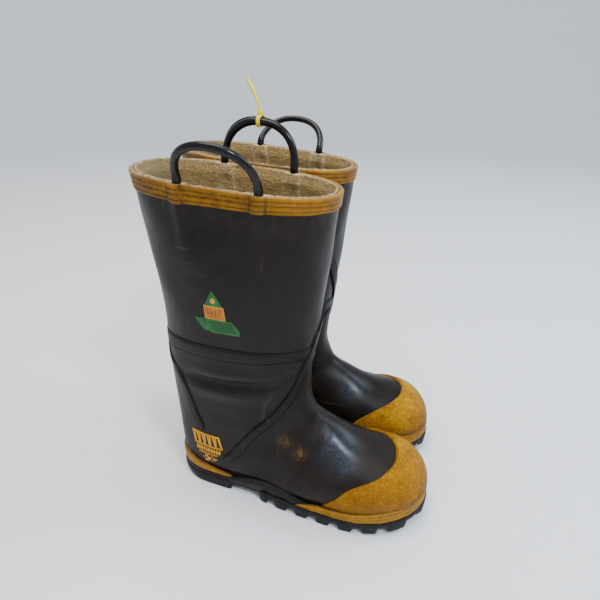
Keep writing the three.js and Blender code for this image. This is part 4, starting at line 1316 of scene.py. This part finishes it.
# angles and rear are knots of the guard's rear edge round the toe
guard = {
    "angles": [
        -3.1416, -2.2, -1.58, -1.275, -1.017, -0.727, -0.204, 0.093, 0.492, 0.812, 1.25, 1.7, 2.3,
        3.1416,
    ],
    "rear": [
        0.872, 0.874, 0.868, 0.858, 0.868, 0.892, 0.907, 0.904, 0.887, 0.868, 0.858, 0.868, 0.873,
        0.872,
    ],
    "lift": 2.3,
    "rows": 130,
    "columns": 280,
}


def guardRear(angle):
    # Smoothed over a fifth of a radian so that the edge has no kinks.
    turned = (angle + np.pi) % (2 * np.pi) - np.pi
    spots = turned[..., None] + np.linspace(-0.1, 0.1, 5)
    spots = (spots + np.pi) % (2 * np.pi) - np.pi
    return throughPoints(guard["angles"], guard["rear"], spots).mean(-1)


def buildGuard(side):
    # Skin over the toes: its lift rises from the rear edge in a rounded step, and sinks to the rubber
    # again below the bumper's top.
    t = np.sin(np.linspace(0, np.pi / 2, guard["rows"]))
    t = np.concatenate([[-0.012, -0.006], t[:-1] * 0.998 + 0.0001, [0.998]])
    angle = ringOf(guard["columns"])
    rear = guardRear(angle)[None]
    s = rear + (upper["end"] - rear) * t[:, None]
    base = upperPoint(s, angle[None])
    edge = smoothStep(-0.012, 0.03, t)[:, None]
    hidden = smoothStep(20, 30, base[..., 2] - toeSpring(base[..., 0]) * 0.7)
    crumple = np.sin(14 * angle[None] + 40 * s) * np.sin(60 * s + 5 * angle[None]) * 0.12
    bead = 0.55 * np.exp(-(((t - 0.03) / 0.018) ** 2))[:, None]
    total = -0.3 + edge * (0.35 + (guard["lift"] + crumple + bead) * hidden)
    outer = onBoot(s, angle[None], total, side)
    under = onBoot(s[::-1], angle[None], np.full(s.shape, -0.6), side)
    grid = np.concatenate([outer[::-1], under[::-1]])
    # Grime is painted shade and dirt: dark along the join with the bumper's top and towards the bottom, and less at
    # the rear edge.
    rearEdge = np.exp(-((np.maximum(t, 0) / 0.03) ** 2))[:, None] * np.ones_like(angle)[None]
    bumperTop = np.interp(base[..., 0], bumper["topX"], bumper["topZ"])
    nearBumper = np.exp(-(((base[..., 2] - bumperTop) / 3.5) ** 2))
    low = 1 - smoothStep(42, 66, base[..., 2] - toeSpring(base[..., 0]))
    dirtAndShade = np.clip(0.6 * nearBumper + 0.3 * low - 0.2 * rearEdge, 0, 1)
    marks = {
        "dirtAndShade": np.concatenate([dirtAndShade[::-1], dirtAndShade[::-1] * 0]),
        "worn": np.zeros((2 * len(t), len(angle))),
    }
    made = loft(f"{side}_pebbled_guard", grid, side, guardYellow, marks=marks, sharp=60)
    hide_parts(f"{side}_toe_guard")
    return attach(made, f"{side}_boot")


sole = {
    "sideTop": 14.9,
    "tread": 6.2,
    "heelFront": 80,
    "archFront": 116,
    "lugPitch": 26,
    "lugLength": 18,
    "rows": 80,
}


def soleFloor(x):
    # Lowest level of the tread at a distance along the foot.
    return toeSpring(x) * 0.92


def treadHeight(x, y):
    # Underside: a heel block and bars across the forefoot, with grooves between them, each bar bent
    # into a shallow chevron and split along the middle.
    chevron = np.abs(y) * 0.16
    phase = ((x + chevron - sole["archFront"] - 3) / sole["lugPitch"]) % 1
    share = sole["lugLength"] / sole["lugPitch"]
    bar = smoothStep(0, 0.09, phase) * smoothStep(share, share - 0.09, phase)
    middle = smoothStep(2.2, 3.6, np.abs(y - 2))
    fore = smoothStep(sole["archFront"], sole["archFront"] + 2.5, x)
    block = 1 - smoothStep(sole["heelFront"] - 1.5, sole["heelFront"] + 1.0, x)
    heelPhase = ((x - 6) / 17) % 1
    heelGroove = 0.35 * smoothStep(0.0, 0.07, heelPhase) * smoothStep(0.22, 0.15, heelPhase)
    heelGroove = heelGroove * smoothStep(34, 28, np.abs(y))
    depth = np.maximum(fore * bar * middle, block * (1 - heelGroove))
    web = sole["tread"] + soleFloor(x) + 1.2 * (1 - fore) * (1 - block)
    return web - depth * (web - soleFloor(x) * fore), depth


def buildOutsole(side):
    plan, normal = outline["points"], outline["normals"]
    x, y = plan.T
    middle = middleLine(34, 40)
    floorZ, depth = treadHeight(x, y)
    topZ = sole["sideTop"] + toeSpring(x)
    isFore = smoothStep(112, 124, x)
    isHeel = 1 - smoothStep(76, 82, x)
    arch = (1 - isFore) * (1 - isHeel)
    rings = []

    def ring(lift, z):
        rings.append(atHeight(plan + normal * np.asarray(lift)[..., None], z))

    scallop = depth * isFore
    lean = 2.2 * np.exp(-((x / 26) ** 2))
    out = 3.6 + 0.9 * scallop - 2.6 * arch - 0.4 * isHeel
    ring(np.full(len(x), -7.0), topZ - 1.2)
    ring(np.full(len(x), 0.5), topZ - 0.4)
    ring(out - 1.0, topZ + 1.6 * scallop)
    ring(out - 0.1, topZ - 0.6 + 1.4 * scallop)
    ring(out + 0.35, topZ - 2.2 + 0.6 * scallop)
    ring(out + 0.35 * scallop, topZ - 4.5)
    ring(out - 0.3 + 0.5 * scallop, (topZ + floorZ) / 2)
    ring(out - 0.8 + 0.5 * scallop - 0.6 * lean, floorZ + (topZ - floorZ) * 0.22)
    ring(out - 1.1 + 0.5 * scallop - lean, floorZ + 0.9)
    ring(out - 2.0 + 0.5 * scallop - lean, floorZ + 0.05)
    lastPlan = plan + normal * (out - 2.6 + 0.4 * scallop - lean)[:, None]
    for k in np.linspace(0, 1, sole["rows"]):
        spot = lastPlan * (1 - k) + middle * k
        rings.append(atHeight(spot, treadHeight(*spot.T)[0]))
    grid = np.stack(rings)
    topMiddle = atHeight(plan * 0.4 + middle * 0.6, topZ - 1.2)
    grid = np.concatenate([atHeight(middle, topZ - 1.2)[None], topMiddle[None], grid])
    # The first and last rings lie on the middle line, where both halves meet and are merged.
    rows, count = grid.shape[:2]
    faces, _ = ringFaces(rows, count, False)
    faces = faces[: (rows - 1) * count]
    points = placePoints(grid.reshape(-1, 3), side)
    made = makePiece(f"{side}_lugged_sole", points, faces, soleRubber, sharp=38)
    mergeDoubles(made.data)
    made.data.set_sharp_from_angle(angle=math.radians(38))
    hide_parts(f"{side}_outsole")
    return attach(made, f"{side}_boot")


def handleFrameOf(side, place):
    rear, front = (
        onBoot(
            np.zeros(1),
            np.array([handles["footAngles"][side][(place, end)]]),
            handles["wall"],
            "right",
            True,
        )[0]
        for end in (-1, 1)
    )
    axis = unit(front - rear)
    rise = np.array([0, handles["lean"][side][place], 1.0])
    rise = unit(rise - axis * axis[2])
    rear, front = rear + [0, 0, handles["footRise"]], front + [0, 0, handles["footRise"]]
    return rear, front, axis, rise


def tubeAlong(path, radius, axis):
    # Circles square to the path, each set out from one fixed direction that the path never follows.
    heading = unit(np.gradient(path, axis=0))
    first = unit(np.cross(heading, axis))
    other = np.cross(heading, first)
    turn = ringOf(handles["sides"])
    circle = np.cos(turn)[None, :, None] * first[:, None] + np.sin(turn)[None, :, None] * other[:, None]
    return path[:, None] + circle * radius[..., None]


def buildHandle(side, place):
    # The tube stands straight up out of the rim and then bends over to its lean: its sideways way is
    # up squared over up plus a softness, scaled to meet the lean at the top.
    rear, front, axis, rise = handleFrameOf(side, place)
    middle, half = (rear + front) / 2, np.linalg.norm(front - rear) / 2
    t = np.linspace(0, np.pi, 150)
    squareness = 2 / handles["squareness"]
    across = -np.sign(np.cos(t)) * np.abs(np.cos(t)) ** squareness * half
    up = np.sin(t) ** squareness * handles["rise"]
    softness = handles["softness"]
    bent = up**2 / (up + softness) * (handles["rise"] + softness) / handles["rise"]
    bow = middle + across[:, None] * axis + up[:, None] * rise
    bow[:, 1] += (bent - up) * rise[1]
    drop = np.linspace(handles["legDrop"], 0, 14)[:-1, None]
    legDown = np.array([0, handles["legLean"] * wallSides[place], -1.0])
    rearLeg, frontLeg = rear + drop * legDown, front + drop * legDown
    path = np.concatenate([rearLeg, bow, frontLeg[::-1]])
    kernel = np.exp(-((np.arange(-7, 8) / 3.2) ** 2))
    kernel /= kernel.sum()
    padded = np.pad(path, ((7, 7), (0, 0)), "edge")
    soft = np.stack([np.convolve(padded[:, k], kernel, "valid") for k in range(3)], -1)
    path = np.concatenate([path[:7], soft[7:-7], path[-7:]])
    between = np.clip(((path - rear) @ axis) / (2 * half), 0, 1)
    rimGap = path[:, 2] - (rear[2] + (front[2] - rear[2]) * between)
    flare = 0.55 * np.exp(-(((rimGap + 2) / 5) ** 2))
    turn = ringOf(handles["sides"])
    seam = 0.12 * (np.exp(-(((turn - np.pi) / 0.12) ** 2)) + np.exp(-((turn / 0.12) ** 2)))
    planeNormal = unit(np.cross(axis, rise))
    grid = tubeAlong(path, (handles["radius"] - 0.05 + flare)[:, None] + seam[None], planeNormal)
    made = loft(f"{side}_{place}_loop", grid, side, handleRubber, sharp=70)
    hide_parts(f"{side}_{place}_handle")
    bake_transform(made)
    return made


def localPlace(anchor, x, y):
    # Places by millimetres round (x, towards the toes) and up (y) from an anchor, seen square on: a few
    # Newton steps find the spot of the surface that lies at x and y in the anchor's tangent plane.
    s, angle = np.full(x.shape, float(anchor[0])), np.full(x.shape, float(anchor[1]))
    start = upperPoint(s, angle)
    alongLeg, turning = upperSlopes(s, angle)
    normal = unit(np.cross(alongLeg, turning))
    up = unit(np.array([0, 0, 1.0]) - normal * normal[..., 2:])
    forward = unit(np.cross(up, normal))
    forward = forward * np.sign(forward[..., :1])
    for _ in range(7):
        gap = start + x[..., None] * forward + y[..., None] * up - upperPoint(s, angle)
        alongLeg, turning = upperSlopes(s, angle)
        a, b = (alongLeg * forward).sum(-1), (turning * forward).sum(-1)
        c, d = (alongLeg * up).sum(-1), (turning * up).sum(-1)
        right, high = (gap * forward).sum(-1), (gap * up).sum(-1)
        det = a * d - b * c
        s = s + np.clip((right * d - high * b) / det, -0.05, 0.05)
        angle = angle + np.clip((high * a - right * c) / det, -0.3, 0.3)
    return s, angle


def thinShape(anchor, levels, lefts, rights, low, high, side, across=10, steps=12):
    # A flat shape laid on the boot: at each level it runs from its left to its right limit. Its edges
    # roll down from high to low.
    knots = np.asarray(levels, float)
    last = len(knots) - 1
    t = np.linspace(0, last, steps * last + 1)
    y, left, right = (np.interp(t, np.arange(last + 1), v) for v in (knots, lefts, rights))
    v = np.concatenate([np.linspace(0, 1, across), np.linspace(1, 0, across)])
    top = np.concatenate([np.ones(across), np.zeros(across)])
    x = left[:, None] + (right - left)[:, None] * v[None]
    s, angle = localPlace(anchor, x, np.broadcast_to(y[:, None], x.shape))
    lift = low + (high - low) * top[None] * np.ones((len(y), 1))
    return onBoot(s, angle, lift, side)


label = {"anchor": (0.283, -1.66), "high": 0.22}


def shapePiece(anchor, levels, lefts, rights, height, material, slotName, side, across=10, steps=10):
    grid = thinShape(anchor, levels, lefts, rights, -0.2, height, side, across, steps)
    return loft("shape", grid, side, material, sharp=30)


def buildLabel(side):
    # A plain green peak over an orange block with bars, and a green strip with rules below: no words.
    anchor, thin = label["anchor"], label["high"]

    def inked(level, left, right, height, ink, slotName="green_print", across=10, steps=10):
        return shapePiece(anchor, level, left, right, height, ink, slotName, side, across, steps)

    green = [
        inked([7.6, 15, 23, 24.4], [-9.2, -5.8, -1.2, -0.3], [9.8, 5.7, 0.9, 0.2], thin, greenPrint),
        inked(
            [-23.6, -19, -9.2, -7.6],
            [-4, -10, -11, -11],
            [25, 25.4, 19, 17],
            thin,
            greenPrint,
            across=16,
        ),
        inked([-22, -15, -9.5, -8.6], [-12, -19, -22, -22], [-5, -11, -12, -12], thin * 0.9, greenPrint),
    ]
    cream = [inked([-7.5, 7.5], [-10.2, -10.6], [11.6, 10.6], thin + 0.03, creamPrint, "yellow_print")]
    turn = np.linspace(-np.pi / 2, np.pi / 2, 9)
    ringLevels, ringHalf = 13.6 + 3.1 * np.sin(turn), 2.7 * np.cos(turn) + 0.05
    cream.append(inked(ringLevels, -ringHalf, ringHalf, thin + 0.06, creamPrint, "yellow_print", 8, 3))
    orange = [inked([-6.6, 6.7], [-9.3, -9.7], [10.7, 9.8], thin + 0.1, orangePrint, "yellow_print")]
    bars = []
    for x in (-6.6, -2.6, 1.4, 5.4):
        bars.append(
            inked([-2.6, 3.8], [x, x - 0.2], [x + 1.5, x + 1.3], thin + 0.16, badgeRed, "yellow_print", 4, 6)
        )
    rules = []
    for k in range(6):
        y = -10.4 - 2.0 * k
        rules.append(
            inked(
                [y - 0.5, y],
                [-7 + 0.9 * k] * 2,
                [17.5 + k] * 2,
                thin + 0.1,
                tapeRubber,
                "black_rubber",
                14,
                2,
            )
        )
    for part, pieces in (
        ("green", green), ("border", cream), ("block", orange), ("bars", bars), ("rules", rules)
    ):
        joined = joinPieces(f"{side}_label_{part}", pieces)
        if part == "green":
            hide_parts(f"{side}_leg_label")
        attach(joined, f"{side}_boot")


badge = {"anchor": (0.591, -1.881), "height": 0.9, "wide": 1.12, "tall": 1.38}


def buildBadge(side):
    # A raised mark with no words: a row of slanted bars between two rails, a row of small diamonds, a
    # thin rail, and a worn rosette.
    anchor, high = badge["anchor"], badge["height"]

    def mark(levels, lefts, rights, height, paint, across, steps):
        levels = np.asarray(levels) * badge["tall"]
        lefts, rights = (np.asarray(v) * badge["wide"] for v in (lefts, rights))
        limits = (anchor, levels, lefts, rights, height)
        return shapePiece(*limits, paint, "yellow_print", side, across, steps)

    left, right = -16.0, 18.5
    gold = [
        mark([13.2, 14.6], [left, left - 0.4], [right - 1.5, right - 1.8], high, badgeYellow, 20, 3),
        mark([1.3, 2.6], [left + 2.6, left + 2.4], [right + 1.8, right + 1.5], high, badgeYellow, 20, 3),
        mark([-7.6, -6.6], [left + 7, left + 6.6], [right - 5, right - 5], high * 0.8, badgeYellow, 16, 2),
        mark([1.3, 14.6], [left + 2.4, left - 0.4], [left + 3.4, left + 0.6], high, badgeYellow, 3, 4),
        mark([1.3, 14.6], [right + 0.8, right - 2.6], [right + 1.8, right - 1.6], high, badgeYellow, 3, 4),
    ]
    for k in range(10):
        x = left + 2.0 + k * 3.2
        wide = 2.1 if k % 2 else 1.5
        slant = 1.5 if k % 2 else -0.9
        base = x + 1.6 + slant
        gold.append(mark([2.8, 13.0], [base, x], [base + wide, x + wide], high, badgeYellow, 4, 6))
    for k in range(10):
        x = left + 5.0 + k * 3.0
        levels, lefts, rights = [-5.6, -2.4, 0.6], [x, x - 1.25, x], [x + 0.4, x + 1.65, x + 0.4]
        gold.append(mark(levels, lefts, rights, high, badgeYellow, 4, 3))
    goldPiece = joinPieces(f"{side}_badge_marks", gold)
    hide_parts(f"{side}_heel_badge")
    red = []
    bend = np.linspace(-np.pi / 2, np.pi / 2, 7)
    halfWide = 2.4 * np.cos(bend) + 0.05
    for k in range(7):
        turn = k * 2 * math.pi / 6
        cx, cy = (3.6 + 6.4 * math.cos(turn), -12.4 + 2.9 * math.sin(turn)) if k < 6 else (3.6, -12.4)
        paint = badgeRed if k % 2 else badgeYellow
        red.append(mark(cy + 1.4 * np.sin(bend), cx - halfWide, cx + halfWide, high * 0.7, paint, 6, 2))
    redPiece = joinPieces(f"{side}_badge_rosette", red)
    for piece in (goldPiece, redPiece):
        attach(piece, f"{side}_boot")


footbed = {"inset": 11.2, "bottom": 26.5, "thickness": 4.2}


def buildFootbed(side):
    # A crowned pad with a cupped heel, pulled in along the arch.
    middle = middleLine(40, 46)
    rings = []
    rim = outline["points"] - outline["normals"] * footbed["inset"]
    for k, z in (
        (1.0, 0.0), (0.5, 0.0), (0.06, 0.0), (0.01, 0.8), (0.0, 2.0), (0.01, 3.4), (0.05, 4.2),
        (0.12, 4.3),
    ):
        spot = rim * (1 - k) + middle * k
        rings.append(atHeight(spot, footbed["bottom"] + z))
    for k in np.linspace(0.16, 1, 26):
        spot = rim * (1 - k) + middle * k
        cup = 2.2 * (1 - k) ** 2 * (1 - smoothStep(40, 90, spot[:, 0]))
        crown = 0.9 * np.sin(np.pi * min(k, 1) / 2)
        z = footbed["bottom"] + footbed["thickness"] + cup + crown
        rings.append(atHeight(spot, z))
    grid = np.stack(rings)
    rows, count = grid.shape[:2]
    faces, corners = ringFaces(rows, count, False)
    faces, corners = faces[: (rows - 1) * count], corners[: (rows - 1) * count]
    uv = surfaceUv(np.arange(rows + 1) * 2.0, np.arange(count + 1) * 1.6)
    marks = {"greyAndShade": np.full(rows * count, 0.5), "pale": np.zeros(rows * count)}
    points = placePoints(grid.reshape(-1, 3), side)
    uv = uv[corners[..., 0], corners[..., 1]]
    made = makePiece(f"{side}_footbed", points, faces, footbedCloth, uv, marks)
    mergeDoubles(made.data)
    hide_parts(f"{side}_insole")
    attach(made, f"{side}_boot")
    return made


tie = {
    "clear": 0.6, "thickness": 1.2, "halfWidth": 1.9, "head": (6.2, 5.4, 4.6), "tail": 30,
    "tailWidth": 3.4,
}


def buildTie():
    # A flat strap round both tubes, a head with a rounded body, and a tail that stands up and leans.
    tops = []
    for side in ("right", "left"):
        rear, front, _, rise = handleFrameOf(side, "inner")
        top = (rear + front) / 2 + rise * handles["rise"]
        tops.append(placePoints(top[None], side)[0] * 1000)
    middle = (tops[0] + tops[1]) / 2
    halfGap = (tops[1][1] - tops[0][1]) / 2
    clear = handles["radius"] + tie["clear"]
    turn = ringOf(96)
    cosine, sine = np.cos(turn), np.sin(turn)
    section = [
        (-1, 0.15), (-0.93, 0), (0.93, 0), (1, 0.15), (1, 0.8), (0.9, 1), (0.5, 0.93),
        (-0.5, 0.93), (-0.9, 1), (-1, 0.8),
    ]
    rows = []
    for acrossShare, depthShare in section:
        radius = clear + tie["thickness"] * depthShare
        y = halfGap * np.tanh(3.2 * cosine) + radius * cosine
        rows.append(np.stack([np.full(len(turn), acrossShare * tie["halfWidth"]), y, radius * sine], -1))
    loop = np.stack(rows, 1) + middle
    grids = [(loop, True)]
    length, width, height = tie["head"]
    headBase = clear + tie["thickness"] - 0.3
    profile = ringOf(28)
    squared = lambda v: np.sign(v) * np.abs(v) ** 0.42
    levels = np.linspace(0, 1, 12)
    swell = 1 - 0.16 * (2 * levels - 1) ** 6
    head = np.stack(
        [
            squared(np.cos(profile))[None] * (length / 2 * swell)[:, None],
            squared(np.sin(profile))[None] * (width / 2 * swell)[:, None],
            np.broadcast_to((headBase + height * levels)[:, None], (12, 28)),
        ],
        -1,
    )
    grids.append((head + middle, False))
    t = np.linspace(0, 1, 90)
    centre = np.stack(
        [-1.0 - 13 * t**1.4, 1.6 * np.sin(2.2 * t), headBase + height - 2 + (tie["tail"] + 1.5) * t],
        -1,
    )
    heading = unit(np.gradient(centre, axis=0))
    twist = 0.5 * t
    sideways = np.stack([np.sin(twist) * heading[:, 2], np.cos(twist), -np.sin(twist) * heading[:, 0]], -1)
    facing = unit(np.cross(heading, sideways))
    taper = 1 - 0.35 * smoothStep(0.9, 1, t)
    teeth = 0.12 * np.sign(np.sin(t * 2 * np.pi * 22))
    tailRows = []
    for a, b in [(-1, -0.5), (1, -0.5), (1, 0.5), (0.55, 0.42), (-0.55, 0.42), (-1, 0.5)]:
        aside = a * tie["tailWidth"] / 2 * taper
        out = b * tie["thickness"] + teeth * (abs(a) < 0.9)
        tailRows.append(centre + (sideways * aside[:, None] + facing * out[:, None]))
    grids.append((np.stack(tailRows, 1) + middle, False))
    pieces = []
    for grid, isLoop in grids:
        ringCount, count = grid.shape[:2]
        faces, _ = ringFaces(ringCount, count, isLoop)
        points = grid.reshape(-1, 3)
        if not isLoop:
            points = np.concatenate([points, grid[[0]].mean(1), grid[[-1]].mean(1)])
        pieces.append(makePiece("tiePart", points / 1000, faces, tieNylon, sharp=40))
    made = joinPieces("yellow_cable_tie", pieces)
    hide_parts("cable_tie")
    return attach(made, "cable_tie")


for side in ("right", "left"):
    buildShell(side)
    buildLining(side)
    buildTopBand(side)
    buildSeamBand(side)
    buildTapes(side)
    print(side, "leg done")
    buildFoxing(side)
    buildBumper(side)
    buildHeelStrip(side)
    buildGuard(side)
    buildOutsole(side)
    print(side, "foot done")
    buildLabel(side)
    buildBadge(side)
    buildFootbed(side)
    for place in ("outer", "inner"):
        buildHandle(side, place)
    print(side, "handles and marks done")
buildTie()

for name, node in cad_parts.items():
    if node.hide_render:
        continue
    isSteel = any(word in name for word in ("plate", "shank", "steel"))
    finish = steel if isSteel else fibreBoard if "board" in name else tapeRubber
    node.data.materials.clear()
    node.data.materials.append(finish)
print("carried-over pieces finished")

studio = {
    "camera": (0.1211, -0.4795, 0.4797),
    "heading": 15.0,
    "down": 27.73,
    "roll": -1.08,
    "lens": 28.86,
    "floor": (0.83, 0.84, 0.86),
    "floorRadius": 2.4,
    "bend": 0.9,
    "wallTop": 2.6,
    "sky": (0.9, 0.94, 1.0),
    "skyStrength": 0.62,
    "lights": {
        "ceilingPanel": {"spot": (-0.3, -0.1, 2.3), "size": 1.3, "power": 52, "colour": (1, 0.975, 0.94)},
        "windowPanel": {"spot": (1.5, 0.75, 1.5), "size": 0.9, "power": 27, "colour": (0.68, 0.84, 1)},
        "vampLamp": {"spot": (0.75, -0.7, 1.45), "size": 0.24, "power": 15, "colour": (0.8, 0.9, 1)},
    },
}


def buildStudio():
    # The floor is turned from a profile: flat, then a quarter circle up into a wall.
    turn = ringOf(96)
    bend = np.linspace(0, np.pi / 2, 24)
    flat, radius = studio["floorRadius"], studio["bend"]
    profileR = np.concatenate([[0.02, 0.6, 1.2, 1.8], flat + radius * np.sin(bend), [flat + radius]])
    profileZ = np.concatenate([np.zeros(4), radius * (1 - np.cos(bend)), [studio["wallTop"]]])
    grid = np.stack(
        [
            profileR[:, None] * np.cos(turn),
            profileR[:, None] * np.sin(turn),
            np.broadcast_to(profileZ[:, None], (len(profileR), len(turn))),
        ],
        -1,
    )
    rows, columns = grid.shape[:2]
    faces, _ = ringFaces(rows, columns, False)
    faces = faces[: rows * columns]
    points = np.concatenate([grid.reshape(-1, 3), [[0, 0, 0]]])
    mesh = bpy.data.meshes.new("floor")
    quads = faces[faces[:, 0] != faces[:, 3]]
    tris = faces[faces[:, 0] == faces[:, 3]][:, :3]
    mesh.from_pydata(points.tolist(), [], quads.tolist() + tris.tolist())
    mesh.polygons.foreach_set("use_smooth", np.ones(len(mesh.polygons), bool))
    floorMaterial, tree, shader, place = startMaterial("floorBoard", 0.6, specular=0.3)
    tone = toneNode(tree, place["Object"], 3.0, 0.3)
    pale = studio["floor"]
    tree.links.new(mixColours(tree, tone, tuple(0.97 * c for c in pale), pale), shader.inputs["Base Color"])
    mesh.materials.append(floorMaterial)
    floor = bpy.data.objects.new("floor", mesh)
    bpy.context.scene.collection.objects.link(floor)

    world = bpy.data.worlds.new("studio")
    bpy.context.scene.world = world
    world.use_nodes = True
    sky = world.node_tree.nodes["Background"]
    sky.inputs["Color"].default_value = (*studio["sky"], 1)
    sky.inputs["Strength"].default_value = studio["skyStrength"]

    for name, lit in studio["lights"].items():
        light = bpy.data.lights.new(name, "AREA")
        light.energy, light.size, light.color = lit["power"], lit["size"], lit["colour"]
        lamp = bpy.data.objects.new(name, light)
        bpy.context.scene.collection.objects.link(lamp)
        lamp.rotation_mode = "QUATERNION"
        lamp.rotation_quaternion = (Vector((0, 0, 0.2)) - Vector(lit["spot"])).to_track_quat("-Z", "Y")
        lamp.location = lit["spot"]


def buildCamera():
    # Looks along its heading, down by its pitch, and turned a little about its own axis.
    heading, down, roll = (math.radians(studio[key]) for key in ("heading", "down", "roll"))
    forward = np.array(
        [-math.sin(heading) * math.cos(down), math.cos(heading) * math.cos(down), -math.sin(down)]
    )
    right = np.array([math.cos(heading), math.sin(heading), 0])
    lower = np.cross(forward, right)
    rolledRight = math.cos(roll) * right + math.sin(roll) * lower
    rolledLower = -math.sin(roll) * right + math.cos(roll) * lower
    camera = bpy.data.cameras.new("camera")
    camera.lens, camera.sensor_width, camera.clip_start = studio["lens"], 36, 0.01
    viewer = bpy.data.objects.new("camera", camera)
    bpy.context.scene.collection.objects.link(viewer)
    axes = np.stack([rolledRight, -rolledLower, -forward], -1)
    placed = Matrix([[*axes[k], studio["camera"][k]] for k in range(3)] + [[0, 0, 0, 1]])
    viewer.matrix_world = placed
    bpy.context.scene.camera = viewer


buildStudio()
buildCamera()
print("studio ready")
